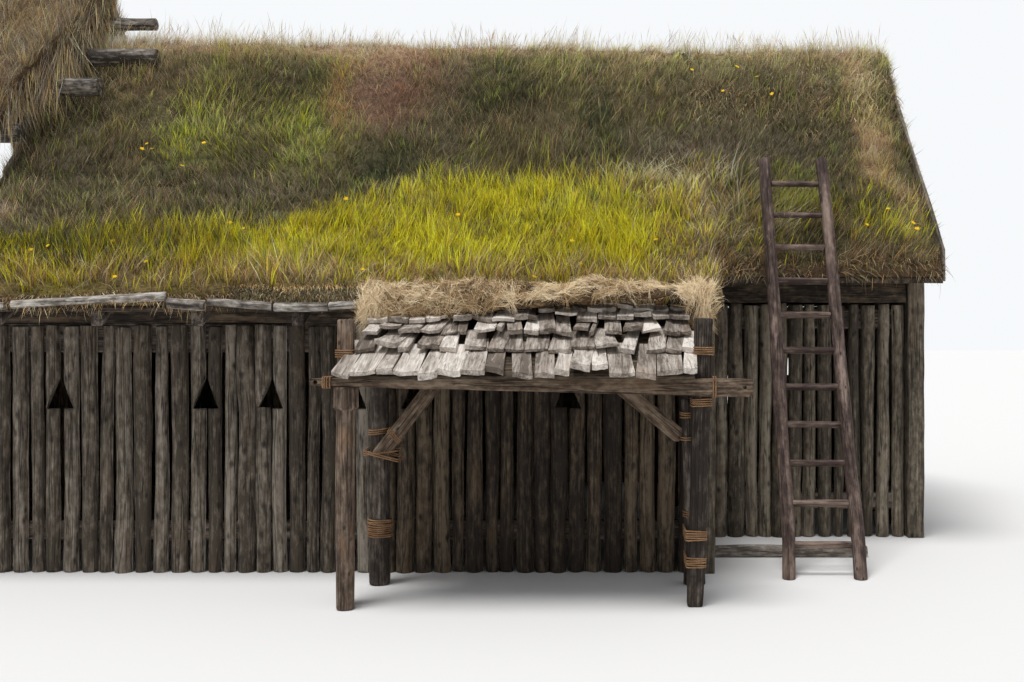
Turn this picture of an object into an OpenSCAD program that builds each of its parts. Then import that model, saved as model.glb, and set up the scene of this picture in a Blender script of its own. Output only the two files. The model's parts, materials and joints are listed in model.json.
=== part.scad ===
// Turf-roofed longhouse with split-log walls, a low front aisle, a shingled porch on lashed posts,
// a ladder leaning on the right eave and a roofed passage bay at the left end.
// The ridge runs along X, the porch side faces -Y and the ground is at z = 0.

/* [House] */
// Length of the front log wall, from the left gable to the step corner
front_len = 6350; // [5900:10:7000]
// Length of the set-back wall, from the step corner to the right gable
right_len = 2050; // [1800:10:2600]
// Distance that the right wall stands behind the front wall
step_back = 1470; // [1300:10:1700]
// Depth of the main house, outside to outside
main_depth = 3700; // [3400:10:4200]
// Side of the squared corner posts
post_w = 150; // [130:5:170]

/* [Log walls] */
// Height of the front wall's logs
front_wall_h = 1945; // [1850:5:2000]
// Height of the right and back walls' logs
main_wall_h = 2130; // [2050:5:2250]
// Average distance from one wall log to the next
log_pitch = 136; // [134:1:150]
// Open joint between two logs of the front walls
log_gap = 18; // [12:1:24]
// Open joint between two logs of the other walls
back_gap = 4; // [2:1:10]
// Depth of a wall, from its outer face to the flat back of its logs
log_depth = 95; // [88:1:110]
// Thickness of the rails that the logs are pegged to
rail_t = 80; // [60:5:100]

/* [Lights and door] */
// Width of a triangular light at its foot
light_w = 208; // [160:2:210]
// Height of a triangular light
light_h = 260; // [200:5:320]
// Height of a light's foot above the ground
light_sill = 1290; // [1100:10:1350]
// Clear width of the back doorway
door_w = 850; // [750:10:1000]
// Clear height of the back doorway
door_h = 1780; // [1650:10:1850]
// Width and depth of the doorway's posts and lintel
door_frame_w = 120; // [90:5:140]

/* [Roof] */
// Pitch of the main roof
main_pitch = 45; // [43:0.5:47]
// Pitch of the front aisle's roof
aisle_pitch = 25.6; // [24.6:0.2:26.6]
// Overhang of the main eaves, measured level
main_overhang = 400; // [300:10:450]
// Overhang of the front aisle's eave, measured level
aisle_overhang = 350; // [300:10:380]
// Overhang of the decks and turf past the right gable
verge_over = 50; // [30:5:100]
// Overhang of the decks and turf past the left gable, under the passage roof
left_over = 170; // [100:10:200]
// Depth of a rafter, square to the slope
rafter_d = 110; // [95:5:125]
// Width of a rafter
rafter_w = 90; // [70:5:100]
// Distance between rafters, at most
rafter_step = 760; // [650:10:900]
// Thickness of the roof boards
deck_t = 30; // [22:1:38]
// Thickness of the turf at the eaves, measured upright
turf_t = 140; // [110:5:180]
// Extra turf heaped along the ridge
ridge_heap = 200; // [120:10:240]
// How much lower the ridge's turf lies at its right end than at its left
ridge_sag = 145; // [60:5:160]
// Thickness of the verge boards
verge_t = 30; // [22:1:38]

/* [Porch] */
// Left edge of the porch roof, measured from the step corner
porch_left = 2600; // [2500:10:2620]
// Right edge of the porch roof, measured from the step corner
porch_right = 262; // [262:2:400]
// Distance from the wall to the front edge of the porch roof
porch_reach = 1280; // [1240:5:1320]
// Pitch of the porch roof
porch_pitch = 21.8; // [20.8:0.2:22]
// Height of the front beam's underside
porch_beam_z = 1460; // [1430:5:1465]
// Height of the front beam
porch_beam_h = 125; // [110:5:130]
// Number of shingle courses
courses = 6; // [4:1:7]
// Thickness of a shingle course at its lower edge, measured upright
shingle_t = 38; // [26:1:40]
// Diameter of the lashing rope
rope_d = 15; // [10:1:18]

/* [Ladder] */
// Length of the ladder's rails
ladder_len = 3830; // [3500:10:4200]
// Distance between the rails' centres
ladder_w = 544; // [460:4:620]
// Diameter of a rail
ladder_rail_d = 106; // [80:2:110]
// Diameter of a rung
ladder_rung_d = 56; // [42:1:60]
// Number of rungs
ladder_rungs_n = 11; // [9:1:12]
// Distance of the ladder's feet in front of the front wall
ladder_foot = 170; // [100:10:260]

/* [Passage bay] */
// Length of the passage bay's roof, past the left gable
passage_len = 1350; // [1100:10:1800]
// How far the passage roof laps over the house roof
passage_lap = 300; // [200:10:400]
// Diameter of a purlin log
purlin_d = 185; // [150:5:195]
// Thickness of the passage turf, measured upright
passage_turf_t = 330; // [250:10:400]

/* [Hidden] */

grey_log = "#6b6052";
dark_log = "#4a4036";
brown_beam = "#5f4b37";
pale_wood = "#b9afa5";
birch = "#a09b96";
turf_green = "#6f7a2c";
turf_brown = "#7a6238";
hay_colour = "#b9966a";
rope_colour = "#9b693e";
ladder_brown = "#55413c";

seat = 0.3;                 // clearance between faces that bear on each other
ridge_y = step_back + main_depth / 2;
main_back = 2 * ridge_y - step_back;

// Heights of the timbers on the walls
plate_play = 15;
front_plate_h = 170;
front_plate_z = front_wall_h + plate_play;
front_plate_top = front_plate_z + front_plate_h;
front_plate_y = 40;
plate_w = 140;
plank_h = 180;
plank_gap = 2;
plank_play = 10;
plank_t = 72;
main_plate_h = 158;
main_plank_z = main_wall_h + plank_play;
main_plate_z = main_plank_z + 2 * plank_h + plank_gap;
main_plate_top = main_plate_z + main_plate_h;
main_plate_y = step_back + log_depth;
plate_notch = 20;

// Undersides of the roof boards, as heights over y
rafter_v = rafter_d / cos(main_pitch);
rafter_va = rafter_d / cos(aisle_pitch);
deck_v = deck_t / cos(main_pitch);
deck_va = deck_t / cos(aisle_pitch);
main_rise = tan(main_pitch);
aisle_rise = tan(aisle_pitch);
main_z0 = main_plate_top - plate_notch + rafter_v - main_plate_y * main_rise;
aisle_z0 = front_plate_top - plate_notch + rafter_va - front_plate_y * aisle_rise;
function main_z(y) = main_z0 + y * main_rise;
function aisle_z(y) = aisle_z0 + y * aisle_rise;
knee_y = (aisle_z0 - main_z0) / (main_rise - aisle_rise);
eave_y = step_back - main_overhang;
aisle_eave_y = -aisle_overhang;
roof_left = -front_len - left_over;
roof_right = right_len + verge_over;
aisle_right = 30;

// Arcade beam below the knee, where the two rafter undersides cross
arcade_y = (aisle_z0 - rafter_va - main_z0 + rafter_v) / (main_rise - aisle_rise);
arcade_w = 140;
arcade_h = 200;
arcade_top = aisle_z(arcade_y) - rafter_va + 15;
arcade_z = arcade_top - arcade_h;

// Ridge beam under the rafters' heads
ridge_w = 140;
ridge_h = 180;
ridge_top = main_z(ridge_y - ridge_w / 2) - rafter_v + 30;
ridge_z = ridge_top - ridge_h;

// Places of the triangular lights, measured from the step corner
light_x = [-5140, -4000, -3490, -2830, -2350, -1160];
back_light_x = [-5100, -3400, -1900, 1400];
door_x = 100;
porch_side = -2700;         // where the left and middle parts of the front wall meet
end_play = 8;               // joint between a wall's last log and the corner post

function wob(n) = sin(n * 137.5 + 40 * sin(n * 71));
function span_logs(a, b) = max(1, floor((b - a) / log_pitch + 0.4));
// Edges of the logs between anchors, which wander less beside a light
function log_edges(anchors, seed) = concat([for (k = [0 : len(anchors) - 2])
    let (n = span_logs(anchors[k], anchors[k + 1]), w = (anchors[k + 1] - anchors[k]) / n)
        for (i = [0 : n - 1]) anchors[k] + i * w
            + (i == 0 ? 0 : (i == 1 || i == n - 1 ? 3 : 15) * wob(seed + 17 * k + i))],
    [anchors[len(anchors) - 1]]);

// Extrudes an outline drawn in y and z from x = a to x = b
module along_x(a, b) {
    translate([a, 0, 0]) rotate([90, 0, 90]) linear_extrude(height = b - a) children();
}

// Extrudes an outline drawn in x and z from y = a to y = b
module along_y(a, b) {
    translate([0, b, 0]) rotate([90, 0, 0]) linear_extrude(height = b - a) children();
}

module block(a, b) {
    translate(a) cube(b - a);
}

module mirror_back() {
    translate([0, 2 * ridge_y, 0]) mirror([0, 1, 0]) children();
}

// Moves the model so that its box is centred on the origin
module in_frame() {
    translate([-(box_left + box_right) / 2, -(box_front + box_back) / 2, 0]) children();
}

// One split log that tapers and leans between its edges at the foot and at the top
module half_log(a, b, c, d, h, gap) {
    lean = atan(((c + d) - (a + b)) / 2 / h);
    translate([(a + b) / 2, log_depth, 0]) rotate([0, lean, 0]) translate([0, 0, -20])
        cylinder(h = h + 60, r1 = (b - a - gap) / 2, r2 = (d - c - gap) / 2, $fn = 32);
}

module light_cut(x) {
    translate([x, 0, 0]) along_y(-20, log_depth + 20)
        polygon([[-light_w / 2, light_sill], [light_w / 2, light_sill], [0, light_sill + light_h]]);
}

// A wall of split logs with uneven tops, its outer face on y = 0; lights are cut where two logs meet
// and only the logs that start within the span are made
module log_wall(anchors, h, seed, gap, lights = [], from = 0, span = [-1e5, 1e5]) {
    foot = log_edges(anchors, seed);
    top = log_edges(anchors, seed + 400);
    for (i = [0 : len(foot) - 2]) if (foot[i] >= span[0] && foot[i] < span[1]) {
        near = [for (x = lights) if (abs(x - foot[i]) < 1 || abs(x - foot[i + 1]) < 1) x];
        difference() {
            intersection() {
                half_log(foot[i], foot[i + 1], top[i], top[i + 1], h, gap);
                block([foot[i] - 60, 0, from], [foot[i + 1] + 60, log_depth, h - 6 - 6 * wob(seed + i)]);
            }
            for (x = near) light_cut(x);
        }
    }
}

// A wall of split logs whose tops follow an outline, drawn in the wall's own x and z
module outline_wall(anchors, h, seed) {
    foot = log_edges(anchors, seed);
    top = log_edges(anchors, seed + 400);
    for (i = [0 : len(foot) - 2])
        intersection() {
            half_log(foot[i], foot[i + 1], top[i], top[i + 1], h, back_gap);
            along_y(0, log_depth) children();
        }
}

module facing_right(x) {
    translate([x, 0, 0]) rotate([0, 0, 90]) children();
}

module facing_left(x) {
    translate([x, 0, 0]) mirror([1, 0, 0]) rotate([0, 0, 90]) children();
}

front_anchors = concat([-front_len + post_w + end_play], light_x, [-post_w - end_play]);

module front_wall_left() {
    color(grey_log) in_frame()
        log_wall(front_anchors, front_wall_h, 3, log_gap, light_x, 0, [-front_len, porch_side]);
}

module front_wall_middle() {
    color(dark_log) in_frame()
        log_wall(front_anchors, front_wall_h, 3, log_gap, light_x, 0, [porch_side, 0]);
}

module front_wall_right() {
    color(grey_log) in_frame() translate([0, step_back, 0])
        log_wall(right_anchors, main_wall_h, 60, log_gap);
}

// Half of a gable's outline, from the wall plate to the ridge beam
function gable_half() = [
    [main_plate_y + plate_w + seat, main_plate_z - seat],
    [main_plate_y + plate_w + seat, main_z(main_plate_y + plate_w) - rafter_v - 2 * seat],
    [ridge_y - ridge_w / 2 - seat, main_z(ridge_y - ridge_w / 2) - rafter_v - 2 * seat],
    [ridge_y - ridge_w / 2 - seat, ridge_z - seat]];
function flip_y(p) = [2 * ridge_y - p[0], p[1]];
function reversed(v) = [for (i = [len(v) - 1 : -1 : 0]) v[i]];

module right_gable_outline() {
    polygon(concat([[step_back, 0], [step_back, main_plate_z - seat]], gable_half(),
        [for (p = reversed(gable_half())) flip_y(p)], [[main_back, main_plate_z - seat], [main_back, 0]]));
}

module left_gable_outline() {
    beam_front = arcade_y - arcade_w / 2 - seat;
    beam_back = arcade_y + arcade_w / 2 + seat;
    plate_back = front_plate_y + plate_w + seat;
    front_half = [[0, 0], [0, front_plate_z - seat], [plate_back, front_plate_z - seat],
        [plate_back, aisle_z(plate_back) - seat], [beam_front, aisle_z(beam_front) - seat],
        [beam_front, arcade_z - seat], [beam_back, arcade_z - seat],
        [beam_back, main_z(beam_back) - rafter_v - seat], gable_half()[2], gable_half()[3]];
    polygon(concat(front_half, [for (p = reversed(gable_half())) flip_y(p)],
        [[main_back, main_plate_z - seat], [main_back, 0]]));
}

module return_outline() {
    plate_back = front_plate_y + plate_w + seat;
    polygon([[0, 0], [0, front_plate_z - seat], [plate_back, front_plate_z - seat],
        [plate_back, aisle_z(plate_back) - seat], [step_back, aisle_z(step_back) - seat], [step_back, 0]]);
}

module return_wall() {
    color(grey_log) in_frame() facing_right(0)
        outline_wall(return_anchors, aisle_z(step_back), 90) return_outline();
}

module right_gable_wall() {
    color(grey_log) in_frame() facing_right(right_len)
        outline_wall([step_back + post_w + end_play, main_back - post_w - end_play], ridge_z, 120)
            right_gable_outline();
}

module left_gable_wall() {
    color(grey_log) in_frame() facing_left(-front_len)
        outline_wall([post_w + end_play, main_back - post_w - end_play], ridge_z, 160)
            left_gable_outline();
}

door_left = door_x - door_w / 2 - door_frame_w;
door_right = door_x + door_w / 2 + door_frame_w;
lintel_top = door_h + door_frame_w;

function lights_in(a, b) = [for (x = back_light_x) if (x > a && x < b) x];

module back_logs(a, b, seed) {
    log_wall(concat([a], lights_in(a, b), [b]), main_wall_h, seed, back_gap, lights_in(a, b));
}

module back_wall_left() {
    color(grey_log) in_frame() mirror_back() translate([0, step_back, 0])
        back_logs(-front_len + post_w + end_play, door_left - end_play, 220);
}

// Logs right of the doorway, and the short ones that stand on its lintel
module back_wall_right() {
    color(grey_log) in_frame() mirror_back() translate([0, step_back, 0]) {
        back_logs(door_right + end_play, right_len - post_w - end_play, 260);
        log_wall([door_left, door_right], main_wall_h, 300, back_gap, [], lintel_top + seat);
    }
}

module door_frame() {
    color(brown_beam) in_frame() mirror_back() {
        for (x = [door_left, door_right - door_frame_w])
            block([x, step_back + 10, 0], [x + door_frame_w, step_back + log_depth + rail_t, door_h - seat]);
        block([door_left, step_back + 10, door_h], [door_right, step_back + log_depth, lintel_top]);
        block([door_left, step_back + log_depth + seat, door_h],
            [door_right, step_back + log_depth + rail_t, main_wall_h - 50]);
    }
}

module corner_post(x, y, h) {
    block([x, y, 0], [x + post_w, y + post_w, h - seat]);
}

module corner_posts() {
    color(grey_log) in_frame() {
        corner_post(-front_len, 0, front_plate_z);
        corner_post(-post_w, 0, front_plate_z);
        corner_post(-post_w, step_back, main_plate_z);
        corner_post(right_len - post_w, step_back, main_plate_z);
        mirror_back() corner_post(-front_len, step_back, main_plate_z);
        mirror_back() corner_post(right_len - post_w, step_back, main_plate_z);
    }
}

foot_rail_z = 250;
foot_rail_h = 150;
head_rail_h = 230;

// Rails behind the front wall: one near the ground, one that the wall plate bears on
module front_rails() {
    a = -front_len + log_depth + rail_t + seat;
    b = -log_depth - rail_t - seat;
    color(dark_log) in_frame() {
        block([a, log_depth + seat, foot_rail_z], [b, log_depth + rail_t, foot_rail_z + foot_rail_h]);
        block([a, log_depth + seat, front_plate_z - head_rail_h],
            [b, log_depth + rail_t, front_plate_z - seat]);
    }
}

// Three rails in one upright plane, for a wall with planks above its logs
module main_rails(a, b, foot_split = []) {
    y0 = step_back + log_depth + seat;
    y1 = step_back + log_depth + rail_t;
    cuts = concat([a], foot_split, [b]);
    for (k = [0 : 2 : len(cuts) - 1])
        block([cuts[k], y0, foot_rail_z], [cuts[k + 1], y1, foot_rail_z + foot_rail_h]);
    for (k = [0 : 2 : len(cuts) - 1])
        block([cuts[k], y0, main_wall_h - head_rail_h], [cuts[k + 1], y1, main_wall_h - 50]);
    block([a, y0, main_plate_z - 290], [b, y1, main_plate_z - seat]);
}

module gable_rail(a, b, z) {
    block([a, log_depth + seat, z], [b, log_depth + rail_t, z + foot_rail_h]);
}

module other_rails() {
    side_end = log_depth + rail_t + seat;
    color(dark_log) in_frame() {
        main_rails(seat, right_len - side_end);
        mirror_back() main_rails(-front_len + side_end, right_len - side_end,
            [door_left - seat, door_right + seat]);
        facing_right(0) {
            gable_rail(post_w + seat, step_back - seat, foot_rail_z);
            gable_rail(post_w + seat, step_back - seat, front_plate_z - head_rail_h);
        }
        for (z = [foot_rail_z, main_wall_h - head_rail_h, main_plate_z + 500])
            facing_right(right_len)
                gable_rail(gable_rail_start(z), 2 * ridge_y - gable_rail_start(z), z);
        for (z = [foot_rail_z, front_plate_z - head_rail_h])
            facing_left(-front_len)
                gable_rail(post_w + seat, main_back - post_w - seat, z);
        facing_left(-front_len)
            gable_rail(gable_rail_start(main_plate_z + 500),
                2 * ridge_y - gable_rail_start(main_plate_z + 500), main_plate_z + 500);
    }
}

// A gable's high rail starts where the rafters leave room for it
function gable_rail_start(z) = z < main_plate_z ? step_back + post_w + seat
    : (z + foot_rail_h - main_z0 + rafter_v) / main_rise + 20;

// Planks that close the wall between its logs and the wall plate
module planks(a, b) {
    for (k = [0, 1])
        block([a, main_plate_y - plank_t, main_plank_z + k * (plank_h + plank_gap)],
            [b, main_plate_y, main_plank_z + plank_h + k * (plank_h + plank_gap) - seat]);
}

module top_planks() {
    color(brown_beam) in_frame() {
        planks(end_play, right_len - post_w - end_play);
        mirror_back() planks(-front_len + post_w + end_play, right_len - post_w - end_play);
    }
}

module wall_plates() {
    color(dark_log) in_frame() {
        block([-front_len, front_plate_y, front_plate_z], [0, front_plate_y + plate_w, front_plate_top]);
        block([-post_w, main_plate_y + seat, main_plate_z],
            [right_len, main_plate_y + plate_w, main_plate_top]);
        mirror_back() block([-front_len, main_plate_y + seat, main_plate_z],
            [right_len, main_plate_y + plate_w, main_plate_top]);
    }
}

module arcade_beam() {
    color(brown_beam) in_frame() block([-front_len, arcade_y - arcade_w / 2, arcade_z],
        [-post_w, arcade_y + arcade_w / 2, arcade_top]);
}

module ridge_beam() {
    color(brown_beam) in_frame() block([-front_len, ridge_y - ridge_w / 2, ridge_z],
        [right_len, ridge_y + ridge_w / 2, ridge_top]);
}

arcade_posts_x = [-front_len + 330, -front_len * 0.62, -front_len * 0.3, -330];
ridge_posts_x = [-front_len + 330, -front_len * 0.46, -130, right_len - 330];

module inner_posts() {
    color(brown_beam) in_frame() {
        for (x = arcade_posts_x)
            translate([x, arcade_y, 0]) cylinder(h = arcade_z - seat, r1 = 75, r2 = 66, $fn = 32);
        for (x = ridge_posts_x)
            translate([x, ridge_y, 0]) cylinder(h = ridge_z - seat, r1 = 88, r2 = 68, $fn = 32);
    }
}

// Outline of a main rafter from y = a to the ridge, notched over the timbers that carry it
module main_rafter_outline(a, carriers) {
    difference() {
        polygon([[a, main_z(a) - rafter_v], [ridge_y - seat / 2, main_z(ridge_y) - rafter_v],
            [ridge_y - seat / 2, main_z(ridge_y) - seat], [a, main_z(a) - seat]]);
        for (c = carriers)
            translate([c[0] - 2 * seat, c[2] - 400]) square([c[1] - c[0] + 4 * seat, 400 + seat]);
    }
}

ridge_carrier = [ridge_y - ridge_w / 2, ridge_y + ridge_w / 2, ridge_top];
arcade_carrier = [arcade_y - arcade_w / 2, arcade_y + arcade_w / 2, arcade_top];
plate_carrier = [main_plate_y, main_plate_y + plate_w, main_plate_top];
tail_y = main_plate_y - plank_t - 20;

// Left edges of the rafters between two end rafters
function rafter_row(a, b) = let (n = ceil((b - a - rafter_w) / rafter_step))
    [for (i = [0 : n]) a + i * (b - a - rafter_w) / n];

main_left_row = rafter_row(-front_len + 2, -post_w - 110);
main_right_row = rafter_row(aisle_right + 10, right_len - 2);
aisle_row = rafter_row(-front_len + log_depth + 5, -log_depth - 5);

module main_rafters_front() {
    color(dark_log) in_frame() {
        for (x = main_left_row)
            along_x(x, x + rafter_w)
                main_rafter_outline(arcade_y - arcade_w / 2, [arcade_carrier, ridge_carrier]);
        for (x = main_right_row)
            along_x(x, x + rafter_w)
                main_rafter_outline(tail_y, [plate_carrier, ridge_carrier]);
    }
}

module main_rafters_back() {
    color(dark_log) in_frame() mirror_back()
        for (x = concat(main_left_row, main_right_row))
            along_x(x, x + rafter_w)
                main_rafter_outline(tail_y, [plate_carrier, ridge_carrier]);
}

module aisle_rafter_outline(a) {
    b = arcade_y + arcade_w / 2;
    difference() {
        polygon([[a, aisle_z(a) - rafter_va], [b, aisle_z(b) - rafter_va],
            [b, main_z(b) - seat], [knee_y, main_z(knee_y) - seat], [a, aisle_z(a) - seat]]);
        translate([front_plate_y - 2 * seat, front_plate_top - 400])
            square([plate_w + 4 * seat, 400 + seat]);
        translate([arcade_carrier[0] - 2 * seat, arcade_top - 400]) square([arcade_w + 9, 400 + seat]);
    }
}

module aisle_rafters() {
    color(dark_log) in_frame()
        for (x = aisle_row)
            let (a = x + clear_shift(x), over_porch = a > -porch_left - rafter_w)
                along_x(a, a + rafter_w)
                    aisle_rafter_outline(over_porch ? porch_back + 20 : aisle_eave_y + 30);
}

// Sideways shift that takes an aisle rafter clear of the main rafter beside it
function clear_shift(x) = let (near = [for (m = main_left_row)
    if (abs(m - x) < rafter_w + 4) m]) len(near) == 0 ? 0 : near[0] - x + rafter_w + 5;

module slope_boards(a, x0, x1) {
    along_x(x0, x1) polygon([[a, main_z(a)], [ridge_y - seat / 2, main_z(ridge_y)],
        [ridge_y - seat / 2, main_z(ridge_y) + deck_v - seat], [a, main_z(a) + deck_v - seat]]);
}

module deck_front() {
    color(brown_beam) in_frame() {
        slope_boards(knee_y + seat, roof_left, aisle_right);
        slope_boards(eave_y, aisle_right + seat, roof_right);
    }
}

module deck_back() {
    color(brown_beam) in_frame() mirror_back() slope_boards(eave_y, roof_left, roof_right);
}

module deck_aisle() {
    color(brown_beam) in_frame() along_x(roof_left, aisle_right)
        polygon([[aisle_eave_y, aisle_z(aisle_eave_y)], [knee_y, aisle_z(knee_y)],
            [knee_y, aisle_z(knee_y) + deck_va - seat],
            [aisle_eave_y, aisle_z(aisle_eave_y) + deck_va - seat]]);
}

// Upright thickness of the main turf, thin in the middle of the slope and heaped at the ridge
ridge_soft = 60;
function heap(u) = ridge_heap * pow(sin(90 * max(0, min(1, (u - 0.6) / 0.25))), 2);
function turf_depth(y) = let (u = (y - eave_y) / (ridge_y - eave_y))
    turf_t * (1 - 0.3 * sin(180 * u) + 0.6 * u * u) + heap(u) - ridge_soft * pow(max(0, (u - 0.9) / 0.1), 2);
function turf_top(y) = main_z(y) + deck_v + turf_depth(y);
turf_lip = 70;
turf_steps = 16;

// Outline of the main turf from y = a to the ridge; a free eave has a rounded lip
function slope_curve(a, b) = [for (i = [0 : turf_steps]) let (y = a + (b - a) * i / turf_steps)
    [y, turf_top(y)]];
module turf_outline(a, free_eave) {
    b = ridge_y - seat / 2;
    start = free_eave ? a + turf_lip : a;
    lip = free_eave ? [[a, main_z(a) + deck_v + 0.6 * turf_t]] : [];
    polygon(concat([[b, main_z(b) + deck_v], [a, main_z(a) + deck_v]], lip, slope_curve(start, b)));
}

// Keeps what lies under the ridge's top, which sinks to the right
module under_ridge_line() {
    peak = turf_top(ridge_y) - 30;
    intersection() {
        children();
        along_y(0, main_back + main_overhang + 10)
            polygon([[roof_left - 1, 0], [roof_right + 1, 0], [roof_right + 1, peak - ridge_sag],
                [roof_left - 1, peak]]);
    }
}

module turf_front() {
    color(turf_green) in_frame() under_ridge_line()
        along_x(roof_left, aisle_right) turf_outline(knee_y + seat, false);
}

module turf_right() {
    color(turf_brown) in_frame() under_ridge_line()
        along_x(aisle_right + seat, roof_right) turf_outline(eave_y, true);
}

module turf_back() {
    color(turf_green) in_frame() under_ridge_line()
        mirror_back() along_x(roof_left, roof_right) turf_outline(eave_y, true);
}

// Turf of the front aisle: a thin peat edge at the eave, thicker towards the knee
module turf_aisle() {
    a = aisle_eave_y;
    bottom = aisle_z(a) + deck_va;
    color(turf_green) in_frame() along_x(roof_left, aisle_right)
        polygon([[knee_y, aisle_z(knee_y) + deck_va], [a, bottom], [a, bottom + 0.6 * turf_t],
            [a + turf_lip, aisle_z(a + turf_lip) + deck_va + 0.9 * turf_t],
            [knee_y * 0.6, aisle_z(knee_y * 0.6) + deck_va + turf_depth(knee_y)],
            [knee_y, turf_top(knee_y)]]);
}

verge_h = 200;
verge_low = 10;
verge_reach = -30;

// Boards on the verges: they cover the edge of the boards and most of the turf
module verge_outline(a, over) {
    polygon([[a, main_z(a) - over], [ridge_y - seat / 2, main_z(ridge_y) - over],
        [ridge_y - seat / 2, main_z(ridge_y) - over + verge_h / cos(main_pitch)],
        [a, main_z(a) - over + verge_h / cos(main_pitch)]]);
}

module verge_boards() {
    color(pale_wood) in_frame() {
        along_x(roof_right + seat, roof_right + verge_t) {
            verge_outline(eave_y - verge_reach, verge_low);
            mirror2d_back() verge_outline(eave_y - verge_reach, verge_low);
        }
        along_x(roof_left - verge_t, roof_left - seat) {
            verge_outline(knee_y, verge_low);
            mirror2d_back() verge_outline(eave_y - verge_reach, verge_low);
        }
        along_x(roof_left - verge_t, roof_left - seat)
            polygon([[aisle_eave_y - verge_reach, aisle_z(aisle_eave_y - verge_reach) - verge_low],
                [knee_y - 2, aisle_z(knee_y - 2) - verge_low],
                [knee_y - 2, aisle_z(knee_y - 2) - verge_low + verge_h / cos(aisle_pitch)],
                [aisle_eave_y - verge_reach,
                    aisle_z(aisle_eave_y - verge_reach) - verge_low + verge_h / cos(aisle_pitch)]]);
    }
}

module mirror2d_back() {
    translate([2 * ridge_y, 0]) mirror([1, 0]) children();
}

// Round birch poles that hold the front turf: start and end as shares of the eave from the left gable
// to the porch, height of each end over the deck's edge, diameter
pole_runs = [[0.005, 0.268, 56, 48, 66], [0.280, 0.589, 50, 110, 68], [0.592, 0.667, 70, 52, 78],
    [0.672, 0.800, 72, 38, 66], [0.803, 0.911, 44, 44, 62], [0.913, 0.968, 46, 56, 58]];
function pole_x(share) = -front_len + share * (front_len - porch_left);

module pole(a, b, z_a, z_b, d) {
    translate([a, aisle_eave_y - d / 2 - seat, aisle_z(aisle_eave_y) + z_a])
        rotate([0, 90 - atan((z_b - z_a) / (b - a)), 0])
            cylinder(h = norm([b - a, z_b - z_a]), d = d, $fn = 32);
}

// Thin poles under the edge of the main decks: one at the right part, three along the back
under_pole_d = 50;
under_pole_n = 3;
module under_pole(a, b) {
    y = eave_y + 85;
    translate([a, y, main_z(y) - seat - under_pole_d / 2 / cos(main_pitch)]) rotate([0, 90, 0])
        cylinder(h = b - a, d = under_pole_d, $fn = 32);
}

module eave_poles() {
    back_run = (front_len + right_len) / under_pole_n;
    color(birch) in_frame() {
        for (p = pole_runs) pole(pole_x(p[0]), pole_x(p[1]), p[2], p[3], p[4]);
        under_pole(right_len * 0.12, right_len - 35);
        mirror_back() for (i = [0 : under_pole_n - 1])
            under_pole(i * back_run - front_len, (i + 1) * back_run - front_len - 40);
    }
}

sill_log_d = 100;
right_anchors = [end_play, right_len - post_w - end_play];

// The sill log's end bears on this log of the return wall, at its widest
return_anchors = [post_w + end_play, step_back - end_play];
return_foot = log_edges(return_anchors, 90);
return_top = log_edges(return_anchors, 490);
borne_i = max([for (i = [0 : len(return_foot) - 2]) return_foot[i] < 0.48 * step_back ? i : 0]);
function borne_w(edges) = edges[borne_i + 1] - edges[borne_i] - back_gap;
borne_r = borne_w(return_foot) / 2 + max(0, borne_w(return_top) - borne_w(return_foot)) / 2
    * (sill_log_d + 20) / (aisle_z(step_back) + 60);
sill_log_y = (return_foot[borne_i] + return_foot[borne_i + 1]) / 2;
sill_log_x = borne_r - log_depth + seat;

// Loose pale log lying before the right wall
module sill_log() {
    bury = sill_log_d / 12;
    color(birch) in_frame() difference() {
        translate([sill_log_x, sill_log_y, sill_log_d / 2 - bury])
            rotate([0, 90, 0]) cylinder(h = right_len * 0.65 - sill_log_x, d = sill_log_d, $fn = 32);
        block([-sill_log_d, sill_log_y - sill_log_d, -sill_log_d],
            [right_len, sill_log_y + sill_log_d, 0]);
    }
}

// Porch: underside of its boards over y
porch_beam_front = -porch_reach + 155;
porch_beam_w = 90;
porch_beam_back = porch_beam_front + porch_beam_w;
porch_beam_mid = (porch_beam_front + porch_beam_back) / 2;
porch_rafter_d = 60;
porch_rafter_v = porch_rafter_d / cos(porch_pitch);
porch_notch = 5;
porch_rise = tan(porch_pitch);
porch_z0 = porch_beam_z + porch_beam_h - porch_notch + porch_rafter_v - porch_beam_front * porch_rise;
function porch_z(y) = porch_z0 + y * porch_rise;
porch_board_v = 20;
porch_front = -porch_reach;
porch_back = -80;
timber_w = 104;
timber_d = 90;
prop_d = 136;
prop_head_d = prop_d + 40;
left_timber_y = porch_beam_mid + prop_head_d / 2 + seat;
left_timber_x = -porch_left - 24 - timber_w;
left_prop_x = -porch_left - 50;
front_timber_top = 1.363 * porch_beam_z;

// The right post is a squared timber that leans and grows wider upwards: its left and right edge at height z
right_post_h = front_timber_top + 10;
right_post_x = -porch_right + rope_d + 12;
right_post_w = 120;
right_post_deep = 140;
right_foot_x = right_post_x - 59;
right_foot_w = 103;
function right_post_l(z) = right_foot_x + (right_post_x - right_foot_x) * z / right_post_h;
function right_post_r(z) = right_post_l(z) + right_foot_w + (right_post_w - right_foot_w) * z / right_post_h;

// Slim pole lashed behind the right post: the middle of it at height z
slim_d = 84;
slim_lean = 1.8;            // degrees
slim_foot_x = right_foot_x + 54;
slim_y = porch_beam_back + right_post_deep + slim_d / 2 + rope_d + 4 * seat;
slim_h = porch_beam_z - 30;
function slim_x(z) = slim_foot_x - z * tan(slim_lean);

// The front beam is a tapered timber: its underside rises to the left
beam_left = -porch_left - 285;
beam_right = 144;
beam_taper = 75;
function beam_low(x) = porch_beam_z + beam_taper * (beam_right - x) / (beam_right - beam_left);

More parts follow.
